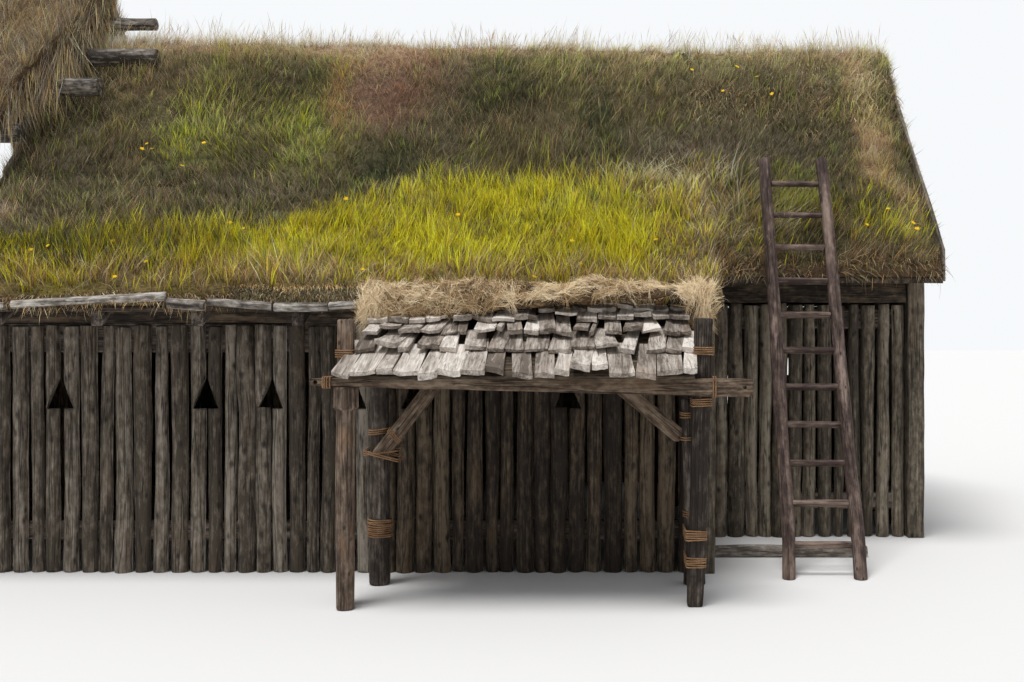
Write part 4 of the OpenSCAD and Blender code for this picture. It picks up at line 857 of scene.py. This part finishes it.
# Hawkbit in flower; each place is the pixel where one is seen, carried to the turf by a ray from the eye
flowerLook = {"radius": 0.022, "petals": 9, "notch": 0.72, "above": 0.18, "behind": 18, "layers": (1.0, 0.62),
              "stem": 0.003, "yellow": (0.95, 0.66, 0.02), "deep": (0.85, 0.45, 0.01)}
flowerPlaces = [(142, 149), (147, 144), (152, 149), (204, 143), (182, 166), (230, 223), (243, 229),
                (285, 229), (119, 232), (113, 241), (48, 246), (31, 250), (146, 262), (115, 277),
                (118, 291), (363, 270), (346, 199), (458, 215), (692, 70), (737, 67), (757, 77),
                (772, 94), (723, 91), (749, 57), (888, 209), (867, 225), (913, 223), (917, 229),
                (883, 256), (572, 241), (656, 240), (581, 264), (534, 277)]


def flowerMaterial():
    material, wire = newMaterial("flower")
    fleck = wire.onObject().noise(160.0, 2.0, 0.5)
    colour = fleck.ramp((0.35, flowerLook["deep"]), (0.55, flowerLook["yellow"]))
    return finishMaterial(material, wire, colour, fleck * 0.2 + 0.6, fleck, 0.3, 0.001)


def hitsOf(trees, start, ray):
    return [hit for hit in (tree.ray_cast(start, ray)[0] for tree in trees) if hit]


def flowerHeads(trees, rng):
    eye, above = Vector(view["place"]), flowerLook["above"]
    heads = []
    for px, py in flowerPlaces:
        ray = Vector(((px - view["centre"][0]) / view["focal"], 1, (view["centre"][1] - py) / view["focal"]))
        ray.normalize()
        hits = hitsOf(trees, eye, ray)
        if hits:
            heads.append(min(hits, key=lambda hit: (hit - eye).length) - ray * above)
    spots, _ = scatter(beds["turf_back"].data, flowerLook["behind"], rng, isTop)
    return heads + [Vector(spot) + Vector((0, 0.03, above)) for spot in spots]


def flowerPattern():  # one layer of petals, a star whose points and notches are bent up
    deselectAll()
    count, radius = flowerLook["petals"], flowerLook["radius"]
    bpy.ops.mesh.primitive_circle_add(vertices=2 * count, radius=radius, fill_type="TRIFAN")
    pattern = bpy.context.object
    for vertex in pattern.data.vertices:
        if vertex.co.length > 0.001:
            inner = round(math.atan2(vertex.co.y, vertex.co.x) / (math.pi / count)) % 2
            vertex.co *= flowerLook["notch"] if inner else 1.0
            vertex.co.z = 0.004 if inner else 0.007
    return pattern


def growFlowers():
    rng = np.random.default_rng(77)
    trees = [BVHTree.FromObject(bed, bpy.context.evaluated_depsgraph_get()) for bed in beds.values()]
    heads = flowerHeads(trees, rng)
    pattern = flowerPattern()
    flowers, roots, tops = [], [], []
    for head in heads:
        feet = hitsOf(trees, head, (0, 0, -1))
        if not feet:
            continue
        facing = Vector((rng.normal(0, 0.35), -0.7 + rng.normal(0, 0.3), 1.0))
        turn = Matrix.Translation(head) @ facing.to_track_quat("Z", "Y").to_matrix().to_4x4()
        for layer, size in enumerate(flowerLook["layers"]):
            flower = newPiece("flower", pattern.data.copy())
            spin = Matrix.Rotation(layer * 0.35 + rng.random(), 4, "Z")
            lift = Matrix.Translation((0, 0, 0.003 * layer))
            flower.data.transform(turn @ spin @ lift @ Matrix.Scale(size * rng.uniform(0.85, 1.15), 4))
            flowers.append(flower)
        roots.append(max(feet, key=lambda hit: hit.z) - Vector((0, 0, 0.01)))
        tops.append(head)
    bpy.data.objects.remove(pattern)
    petals = joinPieces("hawkbit_flowers", flowers)
    petals.data.materials.append(flowerMaterial())
    roots, tops, n = np.array(roots), np.array(tops), len(roots)
    rows = np.stack([roots, roots * 0.5 + tops * 0.5 + rng.normal(0, 0.006, (n, 3)), tops], axis=1)
    pick = np.full(n, list(kinds).index("olive"))
    width = np.tile((flowerLook["stem"], flowerLook["stem"], 0.0), (n, 1))
    stems = ribbonMesh("hawkbit_stems", rows, width, np.tile((1.0, 0.0, 0.0), (n, 1)),
                       {"paint": paintRows(pick, np.ones(n), 3, rng)}, grassPaint)
    for piece in (petals, stems):
        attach(piece, "root")
    print("flowers grown:", n)


growFlowers()


# Porch roof: split shakes laid one by one, in courses from the eave up to the head of the roof
shakeLook = {"starts": (-1.312, -0.975, -0.755, -0.575, -0.415, -0.255, -0.125), "end": -0.02,
             "from": (-2.69, -2.61, -2.61, -2.61, -2.61, -2.0, -0.82), "right": -0.262,
             "stack": (0.0, 0.018, 0.046, 0.070, 0.074, 0.076, 0.082), "pitch": 21.8, "rise": 2.1166,
             "narrow": 0.095, "wide": 0.165, "least": 0.03, "lap": 0.22, "thick": 0.030, "taper": 0.62,
             "cup": 0.22, "twist": 0.13, "curl": 0.05, "skew": 0.10, "rough": 0.0045, "slip": 0.06,
             "space": 0.002, "moreSpace": 0.010, "startSpread": 0.02, "lastWidth": 0.05, "over": 0.012,
             "above": 0.004, "smooth": 30}
eaveCourse = {"wider": 1.15, "thicker": 1.25, "lift": 0.008, "yaw": 0.16}  # the lowest one lies closer
upperCourse = {"wider": 1.0, "thicker": 1.0, "lift": 0.016, "yaw": 0.30}
# places where a shake has slipped away: course, x of its left edge, width
shakeGaps = [(0, -1.545, 0.055), (1, -0.665, 0.075), (1, -2.235, 0.06), (1, -1.90, 0.05), (2, -0.955, 0.07),
             (2, -1.85, 0.05), (2, -1.60, 0.04), (3, -1.36, 0.12), (3, -2.05, 0.05), (4, -1.16, 0.06),
             (4, -1.75, 0.14)]


def fromHouse(x, y, z):  # from the house's own axes to the shared frame
    return Vector((x + house["x"], y + house["y"], z))


def shakeBlank(lengths, widths):  # a block of 1 m with its lower edge on y = 0 and its cuts closer there
    deselectAll()
    bpy.ops.mesh.primitive_cube_add(size=1, location=(0, 0.5, 0.5))
    bpy.ops.object.transform_apply(location=True, rotation=False, scale=True)
    bpy.ops.object.mode_set(mode="EDIT")
    cutAt("y", [(i / lengths) ** 1.5 for i in range(1, lengths)])
    cutAt("x", [i / widths - 0.5 for i in range(1, widths)])
    bpy.ops.object.mode_set(mode="OBJECT")
    return bpy.context.object


def wearShake(p, row, wide, length, thick, rng):
    # p: a blank's points; gives them across, up and off the roof, the shake's slip and its grain's own shift
    look, course = shakeLook, upperCourse if row else eaveCourse
    s, t, h = p[:, 0] * wide, p[:, 1] * length, p[:, 2]
    seed = rng.random(3) * 50
    grain = np.stack([s * 26 + seed[0], t * 3.5 + seed[1], h * 2 + seed[2]], axis=1)
    edge = lump(grain * (1.3, 0.2, 1.0), 3) * 0.012 + (rng.random() - 0.5) * look["skew"] * s / wide
    t = t + edge * (1 - p[:, 1]) ** 2
    s = s * (1 - look["skew"] * rng.random() * p[:, 1]) + lump(grain * (0.0, 1.0, 0.0) + p[:, :1], 5) * 0.006
    z = h * thick * (1 - look["taper"] * p[:, 1]) + lump(grain, 8) * look["rough"] * (0.4 + h)
    cup, turn = (rng.random() - 0.35) * look["cup"], (rng.random() - 0.5) * 2
    z = z + cup * s * s / wide * 1.6 + turn * look["twist"] * s * (1 - p[:, 1]) * 0.9
    lift = course["lift"] * (0.6 + 0.9 * rng.random())
    curl = look["curl"] * (1 - p[:, 1]) ** 3 * rng.random() ** 4
    z = z + lift * (1 - t / length) ** 1.3 + look["above"] + look["stack"][row] + curl
    yaw = (rng.random() - 0.5) * course["yaw"]
    s, t = s * math.cos(yaw) - t * math.sin(yaw), s * math.sin(yaw) + t * math.cos(yaw)
    return s, t, z, (rng.random() - 0.5) * look["slip"], seed


def layShakes():
    rng = np.random.default_rng(12)
    look = shakeLook
    pitch = math.radians(look["pitch"])
    up = np.array([0, math.cos(pitch), math.sin(pitch)])
    out = np.array([0, -math.sin(pitch), math.cos(pitch)])
    blanks = [shakeBlank(5 + k % 2, 4) for k in range(3)]
    pieces = []
    for row, (start, end) in enumerate(zip(look["starts"], look["starts"][1:] + (look["end"],))):
        course = upperCourse if row else eaveCourse
        x = look["from"][row] + (look["startSpread"] * rng.random() if row else 0.0)
        while x < look["right"] - look["lastWidth"]:
            wide = look["narrow"] + (look["wide"] - look["narrow"]) * rng.random() * course["wider"]
            wide = min(wide, look["right"] + look["over"] - x)
            skip = 0
            for gapRow, place, gap in shakeGaps:
                if gapRow == row and x - 0.02 < place < x + wide:
                    wide, skip = max(place - x, look["least"]), gap
            length = (end - start) / math.cos(pitch) + look["lap"] * (0.7 + 0.6 * rng.random())
            thick = look["thick"] * (0.65 + 0.7 * rng.random()) * course["thicker"]
            shake = newPiece("shake", blanks[rng.integers(3)].data.copy())
            s, t, z, slip, seed = wearShake(readPoints(shake.data), row, wide, length, thick, rng)
            foot = np.array(fromHouse(x + wide / 2, start, look["rise"] + math.tan(pitch) * start))
            across = s[:, None] * np.array([1.0, 0, 0])
            movePoints(shake.data, foot + across + (t + slip)[:, None] * up + z[:, None] * out)
            setAttribute(shake.data, "grain", np.stack([s, z, t], axis=1) + seed)
            setAttribute(shake.data, "tone", np.full(len(s), rng.random()))
            pieces.append(shake)
            x += wide + skip + look["space"] + look["moreSpace"] * rng.random() ** 2
    for blank in blanks:
        bpy.data.objects.remove(blank)
    roof = joinPieces("porch_shakes", pieces)
    roof.data.materials.append(woods["shake"])
    bpy.ops.object.shade_smooth_by_angle(angle=math.radians(look["smooth"]))
    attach(roof, "root")
    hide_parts("porch_shingles")
    print("shakes laid:", len(pieces))


layShakes()


# Hay along the head of the porch
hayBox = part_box("porch_hay")
# deep is painted shade in the hollows of the hay; pale is the straw's colour, partly a painted highlight
hayLook = {"deep": (0.055, 0.030, 0.014), "mid": (0.56, 0.37, 0.18), "pale": (0.97, 0.80, 0.53), "cuts": 46,
           "mound": 0.030, "grit": 0.016, "locks": 1150, "each": 10, "width": 0.0034, "short": 0.08,
           "longer": 0.16, "ends": 0.07, "endLonger": 0.08, "sway": 0.011, "spread": 0.012}
# height of the roll's lower edge along the porch, and how far above it the locks begin
hayUnder = ((0, 0.17, 0.33, 0.50, 0.75, 0.90, 0.95, 1.0), (1.90, 1.96, 2.03, 2.09, 2.13, 2.17, 2.0, 1.96))
hayClear = 0.055


def hayMaterial():
    material, wire = newMaterial("hay")
    place = wire.onObject()
    straw = wire.attribute("tone", "Fac")
    tangle = place.scaled(22, 60, 60).noise(1.0, 4.0, 0.65)
    bright = (straw * 0.75 + tangle * 0.5 - 0.12).clip()
    colour = bright.ramp((0.2, hayLook["deep"]), (0.5, hayLook["mid"]), (0.82, hayLook["pale"]))
    return finishMaterial(material, wire, colour, tangle * 0.1 + 0.8, tangle, 0.7, 0.01)


hayPaint = hayMaterial()


def alongHay(points):  # 0 at the roll's left end, 1 at its right one
    return (points[:, 0] - hayBox[0][0]) / (hayBox[1][0] - hayBox[0][0])


def isHaySide(normal, middle):  # the side that shows, clear of the lower edge except at the two ends
    along = alongHay(middle)
    clear = middle[:, 2] > np.interp(along, *hayUnder) + hayClear
    return (normal[:, 1] < 0.35) & (np.abs(normal[:, 0]) < 0.9) & (clear | (np.abs(along - 0.5) > 0.45))


def shapeRoll():
    low, high = hayBox
    roll = copyNode("porch_hay", "porch_hay_heap")
    editSolids()
    cuts = hayLook["cuts"]
    cutAt("x", [low[0] + i * (high[0] - low[0]) / cuts for i in range(1, cuts)])
    bpy.ops.object.mode_set(mode="OBJECT")
    mesh = roll.data
    points, normals = readPoints(mesh), readNormals(mesh)
    lowest = np.interp(alongHay(points), *hayUnder) + 0.015 * lump(points * (7, 0, 0), 80)
    points[:, 2] = np.maximum(points[:, 2], np.minimum(lowest, high[2] - 0.05))
    out = lump(points * 5, 81) * hayLook["mound"] + lump(points * 13, 82) * hayLook["grit"]
    points = points + normals * out[:, None]
    movePoints(mesh, points)
    # the roll under the strands is kept near the deep colour: painted shade between the locks
    setAttribute(mesh, "tone", 0.12 + 0.15 * lump(points * 9, 83))
    mesh.materials.append(hayPaint)
    return roll


def heapHay():
    roll = shapeRoll()
    rng = np.random.default_rng(5)
    locks, normal = scatter(roll.data, hayLook["locks"], rng, isHaySide)
    m, each = len(locks), hayLook["each"]  # the strands of one lock run side by side
    n = m * each
    share = alongHay(locks)
    ends = np.clip(1 - np.minimum(share, 1 - share) / hayLook["ends"], 0, 1)  # there the locks hang down
    along = unit(np.stack([np.sign(rng.random(m) - 0.5) * (0.3 + rng.random(m)), rng.normal(0, 0.3, m),
                           rng.normal(-0.40, 0.5, m) - ends], axis=1) + lump3(locks * 4, 84) * 0.8)
    along = unit(along - normal * np.sum(along * normal, axis=1, keepdims=True) * 0.8)
    bow = unit(normal + rng.normal(0, 0.45, (m, 3)))
    length = hayLook["short"] + hayLook["longer"] * rng.random(m) + hayLook["endLonger"] * ends
    sway = rng.normal(0, hayLook["sway"], (m, 3))
    drop = 0.010 + 0.05 * rng.random(m) ** 3 + 0.08 * ends * rng.random(m)
    tone = 0.66 + 0.55 * lump(locks * (9, 14, 14), 85) + rng.normal(0, 0.20, m)
    root, normal, along, bow, sway = (np.repeat(v, each, axis=0) for v in (locks, normal, along, bow, sway))
    length, drop, tone = (np.repeat(v, each) for v in (length, drop, tone))
    across = unit(np.cross(along, normal))
    root = root + across * rng.normal(0, hayLook["spread"], n)[:, None]
    root = root + bow * rng.normal(0.006, 0.010, n)[:, None]
    along = unit(along + rng.normal(0, 0.22, (n, 3)))
    length = (length * (0.6 + 0.6 * rng.random(n)))[:, None]
    start = root - along * length / 2 - normal * 0.006
    rise = bow * (0.010 + 0.022 * rng.random(n) ** 2)[:, None]
    sag = np.array([0, 0, -1.0]) * drop[:, None]
    rows = np.stack([start,
                     start + along * length * 0.35 + rise + sway * 0.7,
                     start + along * length * 0.7 + rise * 0.8 - sway * 0.5 + sag * 0.3,
                     start + along * length + rise * 0.3 + sag], axis=1)
    side = unit(np.cross(along, normal) + rng.normal(0, 0.35, (n, 3)))
    wide = hayLook["width"] * (0.5 + 0.8 * rng.random(n))
    width = np.stack([wide * 0.7, wide, wide * 0.8, wide * 0], axis=1)
    tone = np.clip(tone + rng.normal(0, 0.13, n), 0, 1)
    strands = ribbonMesh("porch_hay_strands", rows, width, side, {"tone": tone}, hayPaint)
    for piece in (roll, strands):
        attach(piece, "root")
    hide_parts("porch_hay")
    print("hay heaped")


heapHay()


# Ropes: a twisted strand along the middle of each turn of the lashings
ropeLook = {"radius": 0.0059, "pitch": 0.0136, "corner": 0.012, "lobe": 0.22, "lay": 0.055, "step": 0.011,
            "sides": 7, "braceTurns": 3, "braceFoot": 0.195, "braceSteps": 34, "slant": 0.06,
            "deep": (0.055, 0.028, 0.014), "mid": (0.23, 0.122, 0.060), "pale": (0.58, 0.37, 0.20)}
# the lashing at the left brace's foot runs aslant: its upper turns one way, the lower ones the other way
footLashing = {"right": 0.6, "low": 0.9, "middle": 1.0, "high": 1.2, "slantAbove": 0.12, "slantBelow": -0.26}


def ropeMaterial():
    material, wire = newMaterial("rope")
    place = wire.attribute("lay", "Vector")  # across a strand, along the rope, turn number
    groove = wire.add("SeparateXYZ", {}, {"Vector": place}, "X")
    fibre = place.scaled(6, 160, 5).noise(1.0, 3.0, 0.6)
    patch = wire.onObject().noise(14.0, 3.0, 0.6)
    # darker in the grooves of the twist: painted shade
    bright = (groove * 0.6 + fibre * 0.5 + patch * 0.6 - 0.32).clip()
    colour = bright.ramp((0.15, ropeLook["deep"]), (0.5, ropeLook["mid"]), (0.9, ropeLook["pale"]))
    return finishMaterial(material, wire, colour, fibre * 0.15 + 0.75, fibre * 0.5 + groove * 0.5, 0.7, 0.003)


ropePaint = ropeMaterial()


def squareRing(halfU, halfV, t):  # a rectangle with round corners; t: shares of the way around it
    bend = ropeLook["corner"]
    angle = np.linspace(0, 2 * math.pi, 721)[:-1]
    u = (halfU - bend) * np.sign(np.cos(angle)) + bend * np.cos(angle)
    v = (halfV - bend) * np.sign(np.sin(angle)) + bend * np.sin(angle)
    u, v = np.append(u, u[0]), np.append(v, v[0])
    length = np.concatenate([[0], np.cumsum(np.hypot(np.diff(u), np.diff(v)))])
    return np.interp(t * length[-1], length, u), np.interp(t * length[-1], length, v)


def ringPath(points):  # middle line of one turn, from the extent of its solid
    low, high = points.min(0), points.max(0)
    span, middle = high - low, (low + high) / 2
    half = span / 2 - ropeLook["radius"]
    flat = int(np.argmin(span))
    a, b = [k for k in range(3) if k != flat]
    reach = np.hypot((points[:, a] - middle[a]) / span[a], (points[:, b] - middle[b]) / span[b])
    steps = max(24, int((4 * (half[a] + half[b])) / ropeLook["step"]))
    t = np.arange(steps) / steps
    if reach.max() < 0.52:  # no point lies in the corners of its box, so it is round
        u, v = np.cos(2 * math.pi * t) * half[a], np.sin(2 * math.pi * t) * half[b]
    else:
        u, v = squareRing(half[a], half[b], t)
    slant = ropeLook["slant"] * lattice((middle * 1000).astype(np.int64), 9)  # turns are never quite level
    foot = footLashing
    if flat == 2 and middle[0] < foot["right"] and foot["low"] < middle[2] < foot["high"]:
        slant = foot["slantAbove"] if middle[2] > foot["middle"] else foot["slantBelow"]
    path = np.zeros((steps, 3))
    path[:, a], path[:, b], path[:, flat] = middle[a] + u, middle[b] + v, middle[flat] + slant * u
    return path, np.eye(3)[flat]


def readSolids(node):  # the points of each solid of a node
    piece = copyNode(node, node + "_copy")
    editSolids()
    bpy.ops.object.mode_set(mode="OBJECT")
    points, solid = readPoints(piece.data), solidNumbers(piece.data)
    bpy.data.objects.remove(piece)
    return [points[solid == n] for n in range(solid.max() + 1)]


def bracePaths():  # the turns that cross over the foot of the left brace
    brace = min(readSolids("porch_braces"), key=lambda points: points[:, 0].mean())
    axis = longAxis(brace)
    axis = axis * np.sign(axis[2])
    across = np.cross(axis, (0.0, 1.0, 0.0))
    across /= np.linalg.norm(across)
    depth = np.cross(axis, across)
    spans = [(brace @ line).max() - (brace @ line).min() for line in (across, depth)]
    middle = [((brace @ line).max() + (brace @ line).min()) / 2 for line in (across, depth)]
    angle = 2 * math.pi * np.arange(ropeLook["braceSteps"]) / ropeLook["braceSteps"]
    ring = [np.sign(wave) * np.abs(wave) ** 0.65 for wave in (np.cos(angle), np.sin(angle))]
    reach = [span / 2 + ropeLook["radius"] * 0.4 for span in spans]
    paths = []
    for turn in range(ropeLook["braceTurns"]):
        up = (brace @ axis).min() + ropeLook["braceFoot"] + turn * ropeLook["pitch"]
        path = (np.outer(middle[0] + ring[0] * reach[0], across)
                + np.outer(middle[1] + ring[1] * reach[1], depth)
                + np.outer(up + 0.012 * ring[0], axis))
        paths.append((path, axis))
    return paths


def twistStrand(n, path, axis):  # the tube's points around a closed path, and their places on the strand
    sides = ropeLook["sides"]
    path = path + lump3(path * 9 + n, 91) * 0.0012
    steps = len(path)
    ahead = unit(np.roll(path, -1, axis=0) - np.roll(path, 1, axis=0))
    outward = unit(np.cross(ahead, axis))
    upward = unit(np.cross(outward, ahead))
    length = np.linalg.norm(np.roll(path, -1, axis=0) - path, axis=1).sum()
    turns = max(1, round(length / ropeLook["lay"]))
    twist = 2 * math.pi * turns * np.arange(steps) / steps
    angle = 2 * math.pi * np.arange(sides) / sides
    lobe = np.cos(3 * (angle[None] - twist[:, None]))
    radius = ropeLook["radius"] * (1 + ropeLook["lobe"] * (lobe - 0.6))
    ring = path[:, None] + radius[..., None] * (np.cos(angle)[None, :, None] * outward[:, None]
                                               + np.sin(angle)[None, :, None] * upward[:, None])
    along = np.repeat(np.arange(steps) * length / steps, sides)
    lay = np.stack([lobe.ravel() * 0.5 + 0.5, along, np.full(steps * sides, n)], axis=1)
    return ring.reshape(-1, 3), lay


def tubeFaces(first, steps, sides):
    faces = []
    for i in range(steps):
        here, ahead = first + i * sides, first + (i + 1) % steps * sides
        for j in range(sides):
            k = (j + 1) % sides
            faces.append((here + j, here + k, ahead + k, ahead + j))
    return faces


def twistRope():
    corners, faces, lays, first = [], [], [], 0
    paths = [ringPath(points) for points in readSolids("rope_lashings")] + bracePaths()
    for n, (path, axis) in enumerate(paths):
        ring, lay = twistStrand(n, path, axis)
        corners.append(ring)
        lays.append(lay)
        faces += tubeFaces(first, len(path), ropeLook["sides"])
        first += len(ring)
    mesh = bpy.data.meshes.new("rope_turns")
    mesh.from_pydata(np.concatenate(corners).tolist(), [], faces)
    setAttribute(mesh, "lay", np.concatenate(lays))
    mesh.materials.append(ropePaint)
    rope = newPiece("rope_turns", mesh)
    bpy.context.view_layer.objects.active = rope
    deselectAll()
    rope.select_set(True)
    bpy.ops.object.mode_set(mode="EDIT")
    bpy.ops.mesh.select_all(action="SELECT")
    bpy.ops.mesh.normals_make_consistent(inside=False)
    bpy.ops.object.mode_set(mode="OBJECT")
    bpy.ops.object.shade_smooth()
    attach(rope, "root")
    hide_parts("rope_lashings")
    print("rope laid:", len(paths), "turns")


twistRope()


# Floor, sun and sky
def setLight():
    bpy.ops.mesh.primitive_plane_add(size=light["floorSize"], location=(0, 0, 0))
    floor = bpy.context.object
    floor.name = "floor"
    material, wire = newMaterial("floor")
    finishMaterial(material, wire, (*light["floor"], 1), 0.9, wire.onObject().noise(3.0), 0.02, 0.01)
    floor.data.materials.append(material)
    tilt, turn = math.radians(light["tilt"]), math.radians(light["turn"])
    bpy.ops.object.light_add(type="SUN", rotation=(tilt, 0, turn))
    sun = bpy.context.object
    sun.data.energy = light["sun"]
    sun.data.angle = math.radians(light["sunSoftness"])
    world = bpy.data.worlds.new("studio")
    bpy.context.scene.world = world
    world.use_nodes = True
    world.node_tree.nodes.clear()
    wire = Wire(world.node_tree)
    seen = wire.add("LightPath", out="Is Camera Ray")
    glossy = wire.add("LightPath", out="Is Glossy Ray")
    passing = wire.add("LightPath", out="Is Transmission Ray")
    plain = wire.work("MAXIMUM", seen, wire.work("MAXIMUM", glossy, passing))
    sky = wire.add("Background", {}, {"Color": (*light["sky"], 1), "Strength": light["skyStrength"]})
    backdrop = wire.add("Background", {}, {"Color": (*light["backdrop"], 1), "Strength": 1.0})
    wire.add("OutputWorld", {}, {"Surface": wire.add("MixShader", {}, {0: plain, 1: sky, 2: backdrop})})
    print("floor and light set")


setLight()
counts = {}
for piece in bpy.data.objects:
    if piece.type == "MESH" and piece.name not in frame["nodes"]:
        piece.data.calc_loop_triangles()
        counts[piece.name] = len(piece.data.loop_triangles)
print("triangles:", sum(counts.values()), "most:", sorted(counts.items(), key=lambda entry: -entry[1])[:14])
